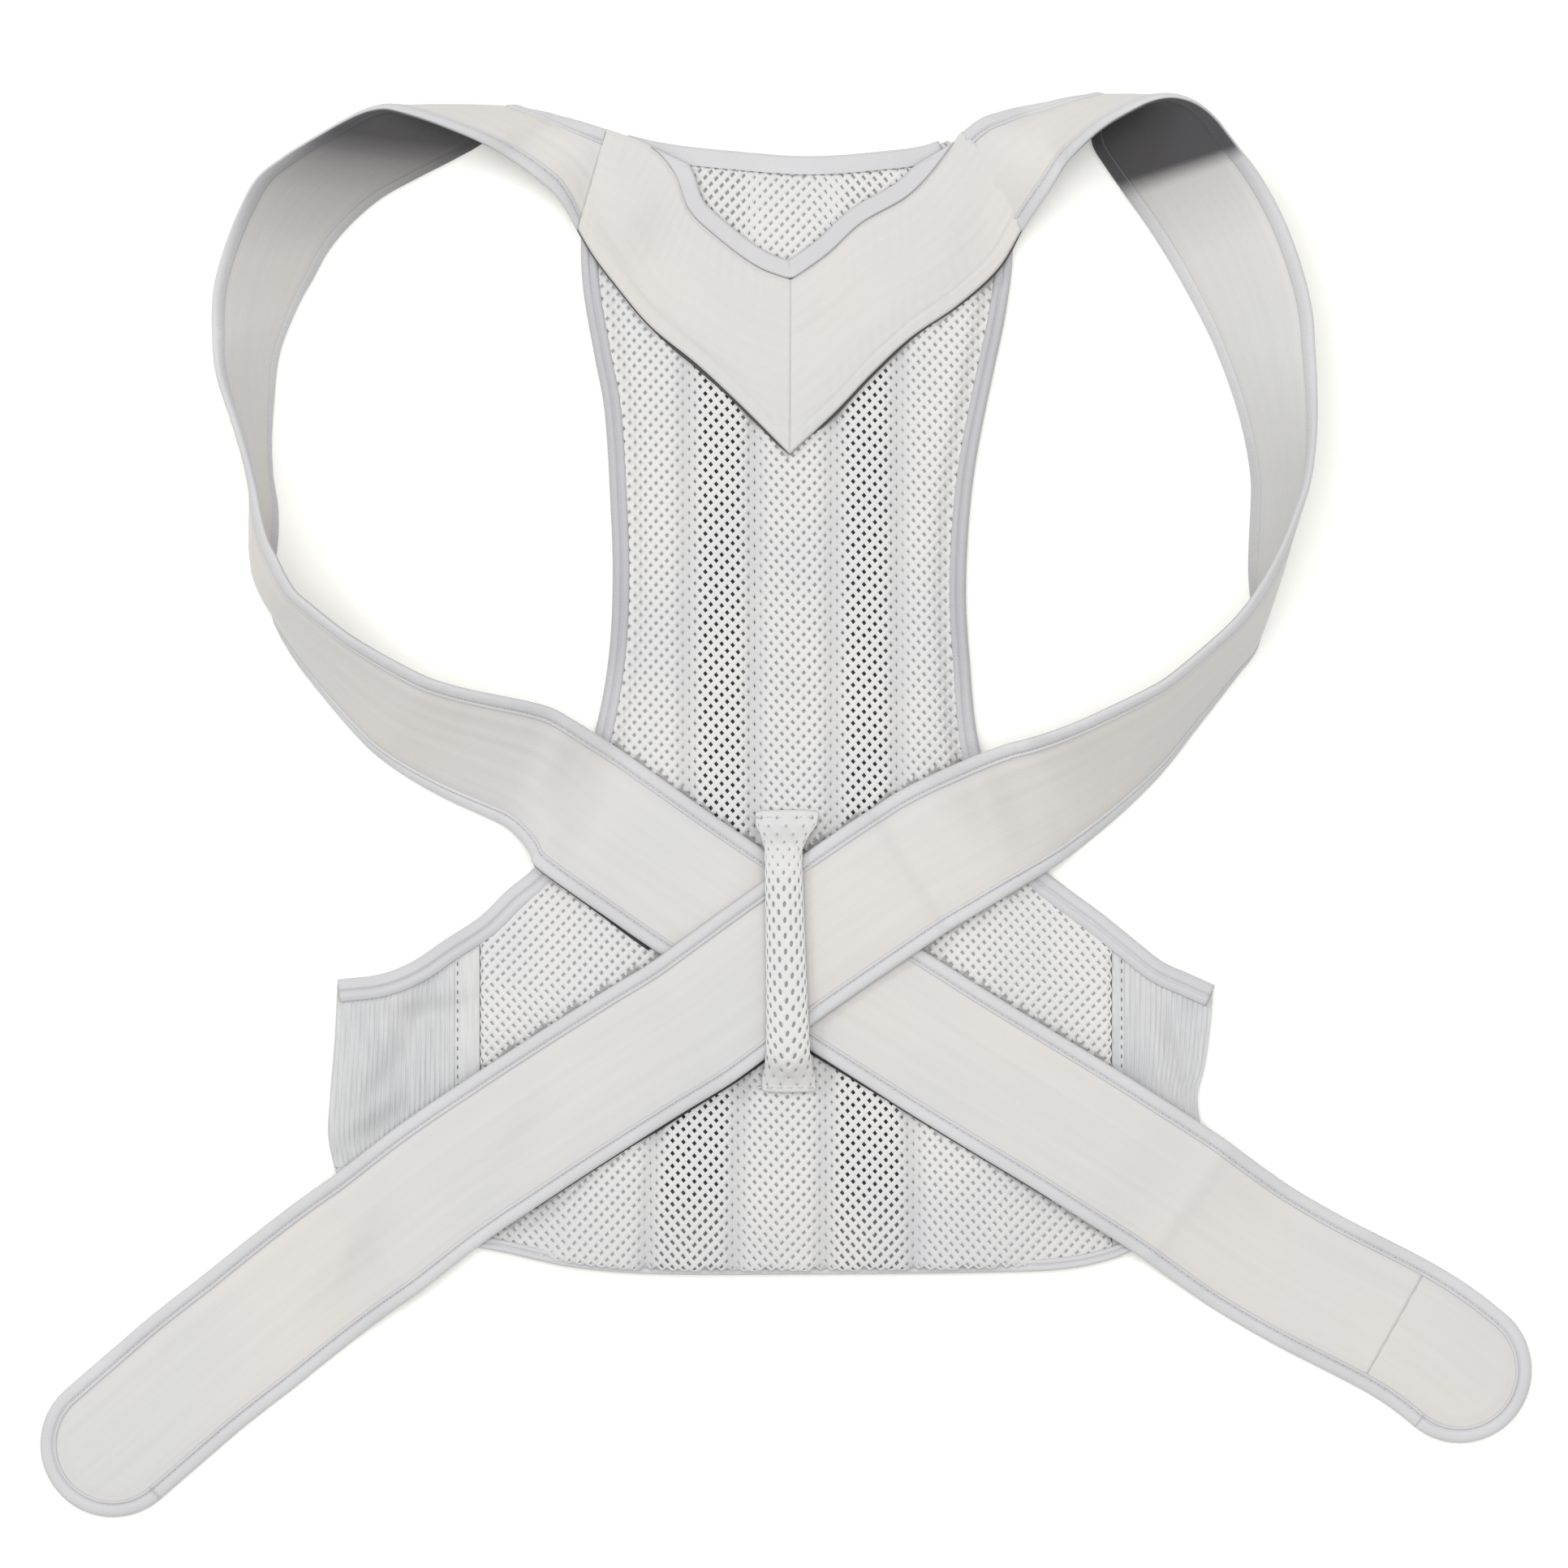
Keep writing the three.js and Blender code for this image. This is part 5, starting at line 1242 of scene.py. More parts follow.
def coated(tree, geometry, material, selection=None):
    """The geometry as real meshes with a finish, on the chosen faces or on all of them."""
    made = tree.nodes.new("GeometryNodeSetMaterial")
    tree.links.new(geometry, made.inputs["Geometry"])
    tree.links.new(material, made.inputs["Material"])
    if selection is not None:
        tree.links.new(selection, made.inputs["Selection"])
    return made.outputs["Geometry"]


def realized(tree, geometry):
    made = tree.nodes.new("GeometryNodeRealizeInstances")
    tree.links.new(geometry, made.inputs["Geometry"])
    return made.outputs["Geometry"]


def tree_inputs(tree, sizes, materials):
    """The tree's named inputs, and the identifiers by which a modifier sets them."""
    ids = {"Geometry": socket(tree, "Geometry", "NodeSocketGeometry")}
    for name, value in sizes:
        ids[name] = socket(tree, name, "NodeSocketFloat", value=value)
    for name in materials:
        ids[name] = socket(tree, name, "NodeSocketMaterial")
    socket(tree, "Geometry", "NodeSocketGeometry", "OUTPUT")
    return ids


def hole_tree():
    tree = bpy.data.node_groups.new("sink_holes", "GeometryNodeTree")
    sizes = (("Thread Sink", 0.0003), ("Hole Depth", 0.0012))
    ids = tree_inputs(tree, sizes, ("Thread", "Hollow"))
    take = tree.nodes.new("NodeGroupInput")
    give = tree.nodes.new("NodeGroupOutput")
    link = tree.links.new

    def named(name, kind="FLOAT"):
        made = node(tree, "GeometryNodeInputNamedAttribute", data_type=kind)
        made.inputs["Name"].default_value = name
        return made.outputs["Attribute"]

    def sunk(mesh, chosen, depth):
        """The chosen faces, each extruded down on its own."""
        down = node(tree, "ShaderNodeMath", operation="MULTIPLY")
        down.inputs[1].default_value = -1
        link(take.outputs[depth], down.inputs[0])
        made = node(tree, "GeometryNodeExtrudeMesh", mode="FACES", Individual=True)
        link(mesh, made.inputs["Mesh"])
        link(chosen, made.inputs["Selection"])
        link(down.outputs[0], made.inputs["Offset Scale"])
        return made

    def scaled(mesh, chosen, value, **settings):
        """The chosen faces scaled by a value that is kept on them."""
        made = node(tree, "GeometryNodeScaleElements", domain="FACE", **settings)
        link(mesh, made.inputs["Geometry"])
        link(chosen, made.inputs["Selection"])
        link(named(value), made.inputs["Scale"])
        return made

    has_hole = node(tree, "FunctionNodeCompare", data_type="FLOAT", operation="GREATER_THAN")
    link(named("opening"), has_hole.inputs[0])
    has_hole.inputs[1].default_value = 0.01
    slope = sunk(take.outputs["Geometry"], has_hole.outputs[0], "Thread Sink")
    bottom = slope.outputs["Top"]
    shrunk = scaled(slope.outputs["Mesh"], bottom, "opening")
    pinched = scaled(shrunk.outputs["Geometry"], bottom, "narrow", scale_mode="SINGLE_AXIS")
    pinched.inputs["Axis"].default_value = (1, 0, 0)
    leaning = scaled(pinched.outputs["Geometry"], bottom, "stretch", scale_mode="SINGLE_AXIS")
    link(named("lean", "FLOAT_VECTOR"), leaning.inputs["Axis"])
    walls = sunk(leaning.outputs["Geometry"], bottom, "Hole Depth")
    either = node(tree, "FunctionNodeBooleanMath", operation="OR")
    link(walls.outputs["Top"], either.inputs[0])
    link(walls.outputs["Side"], either.inputs[1])
    threads = coated(tree, realized(tree, walls.outputs["Mesh"]), take.outputs["Thread"])
    whole = coated(tree, threads, take.outputs["Hollow"], either.outputs[0])
    link(whole, give.inputs["Geometry"])
    return tree, ids


def with_nodes(piece, tree, ids, **values):
    """The piece as a plain mesh after its node tree has run."""
    modifier = piece.modifiers.new("nodes", "NODES")
    modifier.node_group = tree
    for name, value in values.items():
        modifier[ids[name.replace("_", " ")]] = value
    bpy.context.view_layer.update()
    grown = piece.evaluated_get(bpy.context.evaluated_depsgraph_get())
    mesh = bpy.data.meshes.new_from_object(grown)
    piece.modifiers.clear()
    old = piece.data
    piece.data = mesh
    bpy.data.meshes.remove(old)
    return piece


holes, hole_ids = hole_tree()

# %% [markdown]
# ### Finishes of the knit
# The thread is matt and nearly white. The bottom of a hole takes its darkness from the value kept
# on its diamond, so one finish serves the dark channels and the pale ones. That darkness is partly
# what lies behind the knit and partly painted shade in the hole.

# %% The knit's finishes
# The grey that the knit's painted shade mixes toward.
KNIT_SHADE = (0.3, 0.3, 0.32)
# Hole bottoms, greyer than the thread: partly what lies behind the knit, partly painted shade.
HOLLOW_PALE = (0.47, 0.47, 0.475)
HOLLOW_DARKER = (0.06, 0.056, 0.06)
# The black of the painted shadows beside those edges.
GAP_SHADOW_BLACK = (0.01, 0.01, 0.01)


def knit_thread(name, light=0.585, gap_shadows=False):
    """The knit's thread. With gap shadows, it gets a painted black shadow close to the edges that lie on it.
    """
    material, tree, shader = finish_of(name, roughness=0.85, sheen=0.15)
    patches = noise(tree, "Object", (22, 22, 22))
    base = between(tree, patches, times((0.94, 0.94, 0.95), light), times((1, 0.99, 0.97), light))
    # Painted shade, kept on the mesh, darkens the thread in the seam grooves, toward the panel's bottom and
    # at the keeper's ends.
    base = blended(tree, painted(tree, "shade"), base, KNIT_SHADE)
    if gap_shadows:
        # A painted black shadow close to the edges that lie on the mesh.
        near = node(tree, "ShaderNodeMapRange", interpolation_type="SMOOTHSTEP")
        for slot, value in (("From Min", 0.9), ("From Max", 1.7), ("To Min", 1), ("To Max", 0)):
            near.inputs[slot].default_value = value
        tree.links.new(painted(tree, "edge_far"), near.inputs["Value"])
        dark = node(tree, "ShaderNodeMath", operation="MULTIPLY")
        tree.links.new(near.outputs["Result"], dark.inputs[0])
        tree.links.new(painted(tree, "edge_gap_shadow"), dark.inputs[1])
        base = blended(tree, dark.outputs[0], base, GAP_SHADOW_BLACK)
    tree.links.new(base, shader.inputs["Base Color"])
    twist = noise(tree, "Object", (1500, 1500, 1500))
    relief(tree, shader, twist, distance=0.0003, strength=0.4)
    return material


def knit_hollow(name):
    material, tree, shader = finish_of(name, roughness=0.95, sheen=0.0)
    shader.inputs["Specular IOR Level"].default_value = 0.05
    depth = noise(tree, "Object", (400, 400, 400), 1.0)
    dark = between(tree, depth, DEEP, HOLLOW_DARKER)
    base = blended(tree, painted(tree, "dark"), HOLLOW_PALE, dark)
    tree.links.new(base, shader.inputs["Base Color"])
    return material


mesh_thread = knit_thread("spacer_mesh_thread", gap_shadows=True)
mesh_hollow = knit_hollow("spacer_mesh_hollow")

# %% [markdown]
# ### The finished panel
# The diamonds get the height of the padded channels, and the sheet gets its back and its edge. Then
# the node tree makes the holes in the front only, because the back's diamonds have no opening.

# %% The back panel
def closed_sheet(name, points, height, quads, base):
    """A closed body: the quads on top, the same quads on its back, and a wall round both."""
    count = len(points)
    top = np.column_stack([points, height])
    under = np.column_stack([points, np.full(count, base)])
    edges = np.concatenate([quads[:, [0, 1]], quads[:, [1, 2]], quads[:, [2, 3]], quads[:, [3, 0]]])
    codes = edges[:, 0] * count + edges[:, 1]
    twins = edges[:, 1] * count + edges[:, 0]
    border = edges[~np.isin(codes, twins)]
    walls = np.column_stack([border[:, 1], border[:, 0], border[:, 0] + count, border[:, 1] + count])
    faces = quads.tolist() + (quads[:, ::-1] + count).tolist() + walls.tolist()
    return new_piece(name, np.vstack([top, under]), faces, smooth=False), len(walls)


def keep_leans(piece, leans):
    attribute = piece.data.attributes.new("lean", "FLOAT_VECTOR", "FACE")
    attribute.data.foreach_set("vector", leans.astype(np.float32).ravel())


PANEL_BACK = 0.2
# Painted shade in the grooves of the channel seams, and darker toward the bottom edge.
SEAM_SHADE = 0.3
SEAM_SHADE_WIDTH = 3.2
LOW_SHADE = 0.14
LOW_SHADE_HEIGHT = 50
heights = panel_height(sheet_points[:, 0], sheet_points[:, 1])
back_panel, wall_count = closed_sheet("back_panel_mesh", sheet_points, heights, diamonds, PANEL_BACK)
blank = np.zeros(len(diamonds) + wall_count)
for name, values in hole_values.items():
    keep_value(back_panel, name, np.concatenate([values, blank]), "FACE")
keep_leans(back_panel, np.vstack([hole_lean, np.tile([1.0, 0, 0], (len(blank), 1))]))
edge_far, edge_gap_shadow = lying_edges(sheet_points)
at_seam = np.abs(sheet_points[:, :1] - seams_at(sheet_points[:, 1])).min(1)
panel_painted_shade = SEAM_SHADE * np.exp(-((at_seam / SEAM_SHADE_WIDTH) ** 2)) * (sheet_points[:, 1] < NECK_ZONE[0])
panel_painted_shade += LOW_SHADE * (1 - ramp(sheet_points[:, 1], 0, LOW_SHADE_HEIGHT))
for name, front in (("shade", panel_painted_shade), ("edge_far", edge_far), ("edge_gap_shadow", edge_gap_shadow)):
    keep_value(back_panel, name, np.concatenate([front, np.zeros(len(sheet_points))]))
with_nodes(back_panel, holes, hole_ids,
           Thread_Sink=0.00035, Hole_Depth=0.0012, Thread=mesh_thread, Hollow=mesh_hollow)
back_panel.data.shade_smooth()
pieces["back_panel"] = back_panel
print(f"back panel: {len(back_panel.data.polygons)} faces after the holes")

# %% [markdown]
# ## The elastic wings
# The wings are ribbed elastic: fine cords run down the cloth, with a few slack folds near the
# straps. A grid whose columns follow the ribs gives real relief at this scale, and its edges follow
# the outline of the wing's end and of the tapes.

# %% The wings and their seam strips
ELASTIC_RIB_PITCH = 1.9
WING_UP_STEPS = 56
RIB_HEIGHT = 0.28
STEPS_IN_A_RIB = 6
SIDE_LINE_TOP = 240
THINNEST_ELASTIC = 0.8
# How much painted shade a slack fold gets for each millimetre of its depth, and at most.
FOLD_SHADE = 0.16
MOST_FOLD_SHADE = 0.2
# Slack folds. Columns as for the creases of the straps.
WING_FOLDS = [
    (-162, 60, 35, 16, 4.5, 1.3), (-140, 106, 10, 18, 3.5, 0.9), (-152, 96, 62, 26, 4, 0.8),
    (-144, 84, 78, 22, 3, -0.6), (-160, 78, 50, 18, 3.5, 0.5), (150, 92, 105, 24, 4, 0.6),
    (143, 98, 85, 22, 3, -0.4),
]
ELASTIC_DARK = (0.47, 0.478, 0.49)
ELASTIC_PALE = (0.545, 0.545, 0.54)
RIB_SHADE = (0.9, 0.9, 0.905)


def elastic_finish():
    material, tree, shader = finish_of("ribbed_elastic", roughness=0.75, sheen=0.1)
    patches = noise(tree, "Object", (38, 16, 20))
    base = between(tree, patches, ELASTIC_DARK, ELASTIC_PALE, 0.3, 0.7)
    rows = noise(tree, "Object", (900, 60, 60), 3.0)
    base = blended(tree, 1.0, base, between(tree, rows, RIB_SHADE, FULL), "MULTIPLY")
    # Painted shade, kept on the mesh, darkens the slack folds.
    base = blended(tree, painted(tree, "shade"), base, DEEP)
    tree.links.new(base, shader.inputs["Base Color"])
    relief(tree, shader, rows, distance=0.0006, strength=0.5)
    return material


elastic = elastic_finish()


def sorted_line(line):
    """The line with its points in order across the panel, as interpolation needs them."""
    return line[np.argsort(line[:, 0])]


def wing_piece(name, end_line, seam_x, side_line, ribbed):
    """A closed stretch of wing between two lines up the panel, under its two tapes."""
    low_line = sorted_line(beside(bottom_edge, 1.5))
    wing_part = sorted_line(side_line)
    wing_part = wing_part[wing_part[:, 1] < SIDE_LINE_TOP]
    width = abs(seam_x - np.mean(end_line[:, 0]))
    columns = max(int(width / ELASTIC_RIB_PITCH * STEPS_IN_A_RIB), 12) if ribbed else 12
    share = np.linspace(0, 1, columns + 1)
    up = np.linspace(0, 1, WING_UP_STEPS + 1)
    order = np.argsort(end_line[:, 1])
    x = np.empty((columns + 1, WING_UP_STEPS + 1))
    y = np.empty_like(x)
    for index, s in enumerate(share):
        foot_x = end_line[order[0], 0] * (1 - s) + seam_x * s
        head_x = end_line[order[-1], 0] * (1 - s) + seam_x * s
        foot = np.interp(foot_x, low_line[:, 0], low_line[:, 1])
        head = np.interp(head_x, wing_part[:, 0], wing_part[:, 1])
        y[index] = foot + (head - foot) * up
        x[index] = np.interp(y[index], end_line[order, 1], end_line[order, 0]) * (1 - s) + seam_x * s
    walked = (share * width)[:, None]
    height = np.full_like(x, ELASTIC_THICKNESS - 0.1)
    if ribbed:
        height += RIB_HEIGHT * np.cos(walked * 2 * math.pi / ELASTIC_RIB_PITCH)
    folds = dent_depth(np.stack([x, y], -1), WING_FOLDS)
    height = np.maximum(height - folds, THINNEST_ELASTIC)
    top = np.stack([x, y, height], -1)
    under = np.stack([x, y, np.zeros_like(x)], -1)
    rings = np.concatenate([top, under[:, ::-1]], 1)
    piece = loft(name, rings, np.concatenate([y, y[:, ::-1]], 1), paired_ends=True)
    # Painted shade in the slack folds.
    soft = np.clip(folds * FOLD_SHADE, 0, MOST_FOLD_SHADE)
    keep_value(piece, "shade", np.concatenate([soft, np.zeros_like(soft)], 1))
    piece.data.materials.append(elastic)
    return piece


WINGS = {
    "left": (1, beside(left_side, 2), left_elastic_edge, left_mesh_edge, left_end),
    "right": (-1, beside(right_side, -2), right_elastic_edge, right_mesh_edge, right_end),
}
for side_name, (side, tucked_under, elastic_edge, mesh_edge, wing_end) in WINGS.items():
    pieces[f"{side_name}_elastic_wing"] = wing_piece(
        f"{side_name}_elastic", wing_end, elastic_edge, tucked_under, ribbed=True)
for side_name, (side, tucked_under, elastic_edge, mesh_edge, wing_end) in WINGS.items():
    upright = np.column_stack([np.full(len(wing_end), elastic_edge), wing_end[:, 1]])
    pieces[f"{side_name}_seam_strip"] = wing_piece(
        f"{side_name}_strip", upright, mesh_edge + side, tucked_under, ribbed=False)

# %% [markdown]
# ## The keeper loop
# A narrow knitted tube holds the straps together where they cross. Its ends are flattened and sewn
# to the panel. The same trick as for the panel makes its knit: a tube of staggered diamonds, and
# the same node tree to sink the holes.

# %% The keeper
# Columns: place along the panel, width and height as shares, and the level over the straps.
KEEPER = np.array([
    (0.416, 1.75, 0.4, 0), (0.403, 1.7, 0.5, 0.05), (0.391, 1.25, 0.85, 0.55), (0.383, 1.0, 0.95, 1),
    (0.34, 1.04, 1, 1), (0.29, 1.08, 1, 1), (0.24, 1.12, 1, 1), (0.192, 1.2, 0.98, 1),
    (0.184, 1.3, 0.85, 0.5), (0.175, 1.45, 0.55, 0.05), (0.163, 1.5, 0.4, 0),
])
# How the tube drifts across the panel. The first row is its place up, the second how far.
KEEPER_DRIFT = np.array([(0.17, 0.38, 0.41), (1.6, -0.6, 1.0)])
KEEPER_WIDTH = 15
KEEPER_HEIGHT = 6
KEEPER_MIDDLE = -0.006 * HALF_WING
KEEPER_AROUND = 10
KEEPER_ALONG = 36
KEEPER_BUNCHED = 0.5
KEEPER_CHEVRON = 3.5
# The holes of the tube: their opening, narrowness, stretch and darkness, and what its open part adds.
KEEPER_OPENING = 0.14
KEEPER_OPENING_MORE = 0.2
KEEPER_NARROW = 0.7
KEEPER_STRETCH = 1.5
KEEPER_DARK = 0.1
KEEPER_DARK_MORE = 0.3
# Painted shade toward both bunched ends of the tube.
KEEPER_BASE_SHADE = 0.1


def keeper_loop():
    """The tube as staggered diamonds, with the values that its holes need."""
    rows = np.arange(len(KEEPER))
    places = np.linspace(0, rows[-1], KEEPER_ALONG + 1)
    table = np.column_stack([np.interp(places, rows, column) for column in KEEPER.T])
    table[1:-1] = (table[:-2] + 2 * table[1:-1] + table[2:]) / 4
    table = even_steps(table * np.array([PANEL_LENGTH, 1, 1, 1]), KEEPER_ALONG)
    rings = []
    for index, (y, width, height, level) in enumerate(table):
        angles = 2 * math.pi * (np.arange(KEEPER_AROUND) + 0.5 * (index % 2)) / KEEPER_AROUND
        rise = KEEPER_HEIGHT * height / 2
        bottom = ON_PANEL + (ON_CROSSING - ON_PANEL) * level
        drift = np.interp(y / PANEL_LENGTH, *KEEPER_DRIFT)
        x = KEEPER_MIDDLE + drift + np.cos(angles) * KEEPER_WIDTH * width / 2
        bunch = KEEPER_BUNCHED * math.sin(index * 1.9) * (1 if index < 7 or index > 31 else 0.2)
        chevron = KEEPER_CHEVRON * ramp(index, 18, 30) * (1 - ramp(index, 32, 35))
        chevron = chevron * (np.abs(np.cos(angles)) - 0.5)
        rings.append(np.column_stack([x, y + chevron, bottom + rise + np.sin(angles) * (rise + bunch * 0.6)]))
    rings = np.array(rings)
    around, along = np.meshgrid(np.arange(KEEPER_AROUND), np.arange(KEEPER_ALONG - 1), indexing="ij")
    around, along = around.ravel(), along.ravel()
    odd = along % 2
    a = along * KEEPER_AROUND + around
    b = (along + 1) * KEEPER_AROUND + (around + odd) % KEEPER_AROUND
    c = (along + 2) * KEEPER_AROUND + around
    d = (along + 1) * KEEPER_AROUND + (around - 1 + odd) % KEEPER_AROUND
    quads = np.column_stack([a, b, c, d])
    count = KEEPER_AROUND
    first = [[j, (j + 1) % count, count + j] for j in range(count)]
    last = KEEPER_ALONG * count
    behind = KEEPER_ALONG % 2 - 1
    final = [[last + j, last - count + (j + behind) % count, last + (j - 1) % count] for j in range(count)]
    ends = [list(range(count))[::-1], list(range(last, last + count))]
    faces = quads.tolist() + [f[::-1] for f in first] + final + ends
    piece = new_piece("keeper_knit", rings.reshape(-1, 3), faces)
    shell = bmesh.new()
    shell.from_mesh(piece.data)
    bmesh.ops.recalc_face_normals(shell, faces=shell.faces)
    shell.to_mesh(piece.data)
    shell.free()
    total = len(piece.data.polygons)
    share = along / KEEPER_ALONG
    filler = np.zeros(total - len(quads))
    open_part = ramp(share, 0.16, 0.24) * (1 - ramp(share, 0.84, 0.92))
    for name, values, elsewhere in (
        ("opening", KEEPER_OPENING_MORE * open_part + KEEPER_OPENING, filler),
        ("narrow", np.full(len(quads), KEEPER_NARROW), filler + 1),
        ("stretch", np.full(len(quads), KEEPER_STRETCH), filler + 1),
        ("dark", KEEPER_DARK_MORE * open_part + KEEPER_DARK, filler),
    ):
        keep_value(piece, name, np.concatenate([values, elsewhere]), "FACE")
    aslant = np.zeros((total, 3))
    aslant[:, 1] = 1
    turned = 0.25 + 0.6 * ramp(share, 0.5, 0.8)
    aslant[: len(quads), 0] = np.where(np.cos(2 * math.pi * around / KEEPER_AROUND) > 0, turned, -turned)
    keep_leans(piece, unit(aslant))
    ring = np.arange(len(piece.data.vertices)) // KEEPER_AROUND
    # Painted shade near both ends, where the knit is bunched.
    near_ends = KEEPER_BASE_SHADE * (1 - ramp(ring, 3, 8)) + KEEPER_BASE_SHADE * ramp(ring, 31, 34)
    keep_value(piece, "shade", near_ends)
    return piece


keeper_thread = knit_thread("keeper_thread", light=0.58)
keeper = keeper_loop()
with_nodes(keeper, holes, hole_ids,
           Thread_Sink=0.0004, Hole_Depth=0.0007, Thread=keeper_thread, Hollow=mesh_hollow)
rounded = keeper.modifiers.new("rounded thread", "SUBSURF")
rounded.levels = rounded.render_levels = 2
bpy.context.view_layer.objects.active = keeper
keeper.select_set(True)
bpy.ops.object.modifier_apply(modifier="rounded thread")
keeper.data.shade_smooth()
pieces["keeper_loop"] = keeper
print(f"keeper: {len(keeper.data.polygons)} faces")

# %% [markdown]
# ## Stitches
# Thread is what makes cloth look sewn. Each seam is a line that lies on the cloth, and a node tree
# sets one short rounded stitch after another along it, turned the way the seam runs. The stitch is
# a ball of a few faces, drawn out long and thin, so that hundreds of them stay light.

# %% Geometry Nodes: stitches along a line
def stitch_tree():
    tree = bpy.data.node_groups.new("stitches_along", "GeometryNodeTree")
    sizes = (("Pitch", 0.0032), ("Stitch Length", 0.0022), ("Thread Width", 0.0005))
    ids = tree_inputs(tree, sizes, ("Thread",))
    take = tree.nodes.new("NodeGroupInput")
    give = tree.nodes.new("NodeGroupOutput")
    link = tree.links.new
    line = tree.nodes.new("GeometryNodeMeshToCurve")
    link(take.outputs["Geometry"], line.inputs["Mesh"])
    spaced = node(tree, "GeometryNodeResampleCurve", mode="LENGTH")
    link(line.outputs["Curve"], spaced.inputs["Curve"])
    link(take.outputs["Pitch"], spaced.inputs["Length"])
    ball = node(tree, "GeometryNodeMeshIcoSphere", Radius=0.5, Subdivisions=1)
    stitch_size = tree.nodes.new("ShaderNodeCombineXYZ")
    for axis, size in (("X", "Stitch Length"), ("Y", "Thread Width"), ("Z", "Thread Width")):
        link(take.outputs[size], stitch_size.inputs[axis])
    way = tree.nodes.new("GeometryNodeInputTangent")
    turn = node(tree, "FunctionNodeAlignEulerToVector", axis="X")
    link(way.outputs["Tangent"], turn.inputs["Vector"])
    put = tree.nodes.new("GeometryNodeInstanceOnPoints")
    link(spaced.outputs["Curve"], put.inputs["Points"])
    link(ball.outputs["Mesh"], put.inputs["Instance"])
    link(turn.outputs["Rotation"], put.inputs["Rotation"])
    link(stitch_size.outputs["Vector"], put.inputs["Scale"])
    threads = coated(tree, realized(tree, put.outputs["Instances"]), take.outputs["Thread"])
    link(threads, give.inputs["Geometry"])
    return tree, ids


FACES_IN_A_STITCH = 20
stitches_along, stitch_ids = stitch_tree()


def sewing_thread(name, colour):
    material, tree, shader = finish_of(name, roughness=0.6, sheen=0.1)
    twist = noise(tree, "Object", (900, 900, 900), 1.0)
    base = between(tree, twist, times(colour, 0.85), colour)
    tree.links.new(base, shader.inputs["Base Color"])
    relief(tree, shader, twist, distance=0.0002, strength=0.3)
    return material


pale_thread = sewing_thread("pale_sewing_thread", TAPE)
# The neck and wing stitches are real; their dark grey is partly painted shade along the seams.
shaded_grey_thread = sewing_thread("shaded_grey_sewing_thread", (0.16, 0.16, 0.17))


def sew(name, lines, thread, pitch=0.0032, length=0.0022, width=0.0005):
    """Stitches along lines, with their sizes in metres."""
    points = np.vstack(lines)
    edges, start = [], 0
    for line in lines:
        edges += [(start + i, start + i + 1) for i in range(len(line) - 1)]
        start += len(line)
    mesh = bpy.data.meshes.new(name)
    mesh.from_pydata(((points + SHIFT) * 0.001).tolist(), edges, [])
    seam = bpy.data.objects.new(name, mesh)
    scene.collection.objects.link(seam)
    with_nodes(seam, stitches_along, stitch_ids,
               Pitch=pitch, Stitch_Length=length, Thread_Width=width, Thread=thread)
    seam.data.shade_smooth()
    print(f"{name}: {len(seam.data.polygons) // FACES_IN_A_STITCH} stitches")
    return seam


# %% [markdown]
# ### The seams that are sewn
# The strap tapes are sewn down in their groove. The neck tape, the wing seams and the two ends of
# the keeper show a row of single stitches.

# %% Sew the seams
GROOVE_PLACE = 1.5
GROOVE_HEIGHT = 0.95
KEEPER_ROWS = (0.409, 0.168)
KEEPER_ROW_REACH = 10
seams = []
for path in straps.values():
    for side in (1, -1):
        half = np.linalg.norm(path["across"], axis=1)[:, None] / 2
        offsets = side * (half - TAPE_WIDTH + GROOVE_PLACE)
        seams.append(strap_points(path, offsets, np.full_like(offsets, GROOVE_HEIGHT))[:, 0])


def lying(x, y, height):
    """A line in plan at one height."""
    return np.column_stack(np.broadcast_arrays(x, y, height))


neck_line = beside(neck_edge[12:-12], -NECK_TAPE_WIDTH + 0.4)
neck_seam = lying(neck_line[:, 0], neck_line[:, 1], PANEL_THICKNESS * 0.9 + 0.35)
wing_seams = []
for x, edge in ((left_elastic_edge + 1.2, left_side), (right_elastic_edge - 1.2, right_side)):
    wing_side = sorted_line(edge[edge[:, 1] < SIDE_LINE_TOP])
    head = np.interp(x, wing_side[:, 0], wing_side[:, 1]) - WING_TAPE_WIDTH
    wing_seams.append(lying(x, np.linspace(30, head, 40), ELASTIC_THICKNESS + 0.15))
across = np.linspace(-KEEPER_ROW_REACH, KEEPER_ROW_REACH, 20) + KEEPER_MIDDLE
keeper_rows = [lying(across, up * PANEL_LENGTH, ON_PANEL + 2.6) for up in KEEPER_ROWS]

# %% [markdown]
# ### The dark line under the straps
# Where a strap stands off the mesh, the shaded gap below it is seen as a thin dark line. A narrow
# dark strip tucked under the edge stands for it. Each row gives the place across the panel and how
# far the strip shows there.

# %% Strips under the straps' lower edges
SHADOW_STRIP_TABLES = {
    "left": [
        [(-100, 0.2), (-79, 0.5), (-62, 1.2), (-52, 1.4)],
        [(6, 1.1), (28, 0.9), (40, 0.5), (105, 0.35)],
    ],
    "right": [[(-100, 0.3), (-60, 0.5), (-50, 1), (-30, 0.8), (-7, 1.1)]],
}


TUCKED_IN = -2.0
STRIP_TOP = 0.15
STRIP_BOTTOM = -0.3


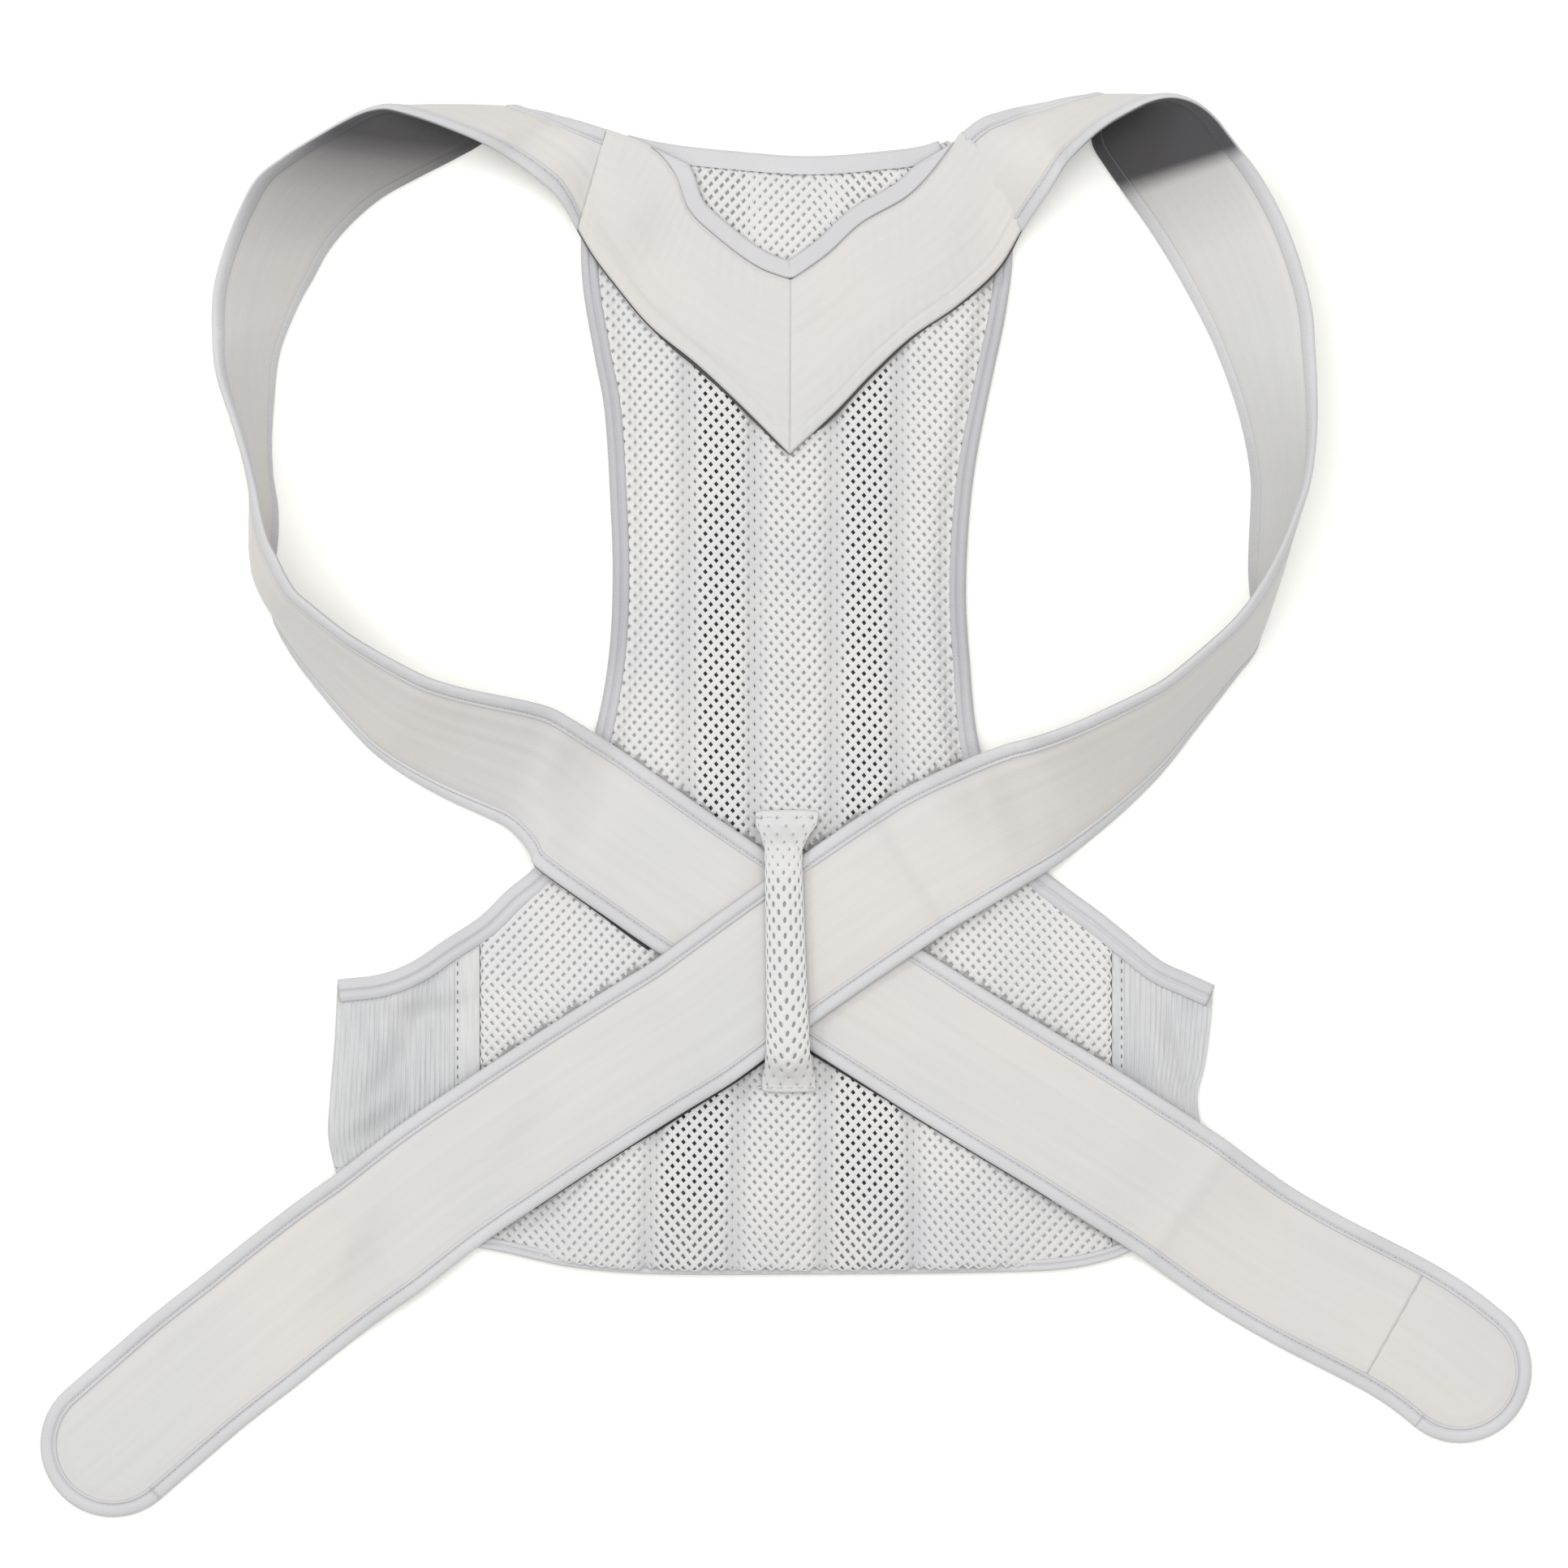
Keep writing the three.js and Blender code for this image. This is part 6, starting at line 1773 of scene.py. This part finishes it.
def shadow_strip(name, path, table):
    """A thin strip along the part of a strap's outer edge that lies on the panel, painted dark as the shadow
    below it.
    """
    x, reach = np.transpose(table)
    edge = path["centre"][:, :2] - path["across"][:, :2] / 2
    lying_here = (edge[:, 0] > x[0]) & (edge[:, 0] < x[-1]) & (edge[:, 1] < PANEL_LENGTH / 2)
    lying_here &= np.abs(path["out"][:, 2]) > 0.9
    edge = edge[lying_here]
    away = -unit(path["across"][lying_here, :2])
    shows = edge + away * np.interp(edge[:, 0], x, reach)[:, None]
    hidden = edge + away * TUCKED_IN
    corners = ((hidden, STRIP_TOP), (shows, STRIP_TOP), (shows, STRIP_BOTTOM), (hidden, STRIP_BOTTOM))
    rings = [lying(plan[:, 0], plan[:, 1], ON_PANEL + height) for plan, height in corners]
    strip = loft(name, np.stack(rings, 1), np.array([0, 3, 3, 0]))
    # Painted black all over, as the shadow in the gap.
    keep_value(strip, "shade", np.ones(len(strip.data.vertices)))
    strip.data.materials.append(edge_tape)
    return strip


shadow_strips = [shadow_strip(f"{side_name}_painted_gap_shadow_{number}", straps[side_name], table)
                for side_name, tables in SHADOW_STRIP_TABLES.items() for number, table in enumerate(tables)]
extras = shadow_strips + [
    sew("strap_stitches", seams, pale_thread),
    sew("neck_stitches", [neck_seam], shaded_grey_thread, pitch=0.0034, length=0.0024, width=0.0007),
    sew("wing_stitches", wing_seams, shaded_grey_thread, pitch=0.0036, length=0.002, width=0.0005),
    sew("keeper_stitches", keeper_rows, pale_thread, pitch=0.0036, length=0.0028, width=0.0009),
]

# %% [markdown]
# ## Every piece rides on the one body
# Cloth has no joints, so the model has one body, called root. Each piece rides on it and stands in
# for the solid of its name, which is hidden.

# %% Ride and replace
for name, piece in pieces.items():
    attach(piece, "root")
    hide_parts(name)
for piece in extras:
    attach(piece, "root")

# %% [markdown]
# ## The table, the light and the camera
# The corrector lies on a pale table and is photographed from straight above. A very large soft lamp
# overhead and a pale sky give light with almost no shadows; one smaller lamp from the upper left
# brings out the relief. A long lens keeps the tall loops from leaning outward in the picture.

# %% Table, lamps and camera
PICTURE_CENTRE = (-0.0007, 0.0079)
PICTURE_WIDTH = 0.6173
CAMERA_HEIGHT = 3.6
SENSOR_WIDTH = 36
SKY_STRENGTH = 0.68

bpy.ops.mesh.primitive_plane_add(size=8, location=(0, 0, 0))
table_top = bpy.context.object
table_top.name = "table_top"
table_top.location.z = -0.0005
white, _, white_shader = finish_of("pale_table", roughness=0.9, sheen=0.0)
white_shader.inputs["Base Color"].default_value = (0.95, 0.948, 0.915, 1)
table_top.data.materials.append(white)


def lamp(name, place, size, power):
    """A round soft lamp that points at the middle of the table."""
    light = bpy.data.lights.new(name, "AREA")
    light.shape = "DISK"
    light.size = size
    light.energy = power
    lamp_object = bpy.data.objects.new(name, light)
    scene.collection.objects.link(lamp_object)
    lamp_object.location = place
    lamp_object.rotation_euler = (-Vector(place)).to_track_quat("-Z", "Y").to_euler()


lamp("soft_overhead", (0, 0.3, 3.2), size=3.0, power=76)
lamp("upper_left", (-1.6, 1.4, 1.9), size=0.8, power=17)

world = bpy.data.worlds.new("pale_sky")
world.use_nodes = True
world.node_tree.nodes["Background"].inputs["Color"].default_value = (1, 1, 0.99, 1)
world.node_tree.nodes["Background"].inputs["Strength"].default_value = SKY_STRENGTH
scene.world = world

camera_data = bpy.data.cameras.new("overhead_camera")
camera_data.sensor_width = SENSOR_WIDTH
camera_data.lens = SENSOR_WIDTH * CAMERA_HEIGHT / PICTURE_WIDTH
camera_data.clip_end = 20
camera = bpy.data.objects.new("overhead_camera", camera_data)
camera.location = (*PICTURE_CENTRE, CAMERA_HEIGHT)
scene.collection.objects.link(camera)
scene.camera = camera
scene.view_settings.view_transform = "Standard"
print(f"lens {camera_data.lens:.0f} mm at {CAMERA_HEIGHT} m")
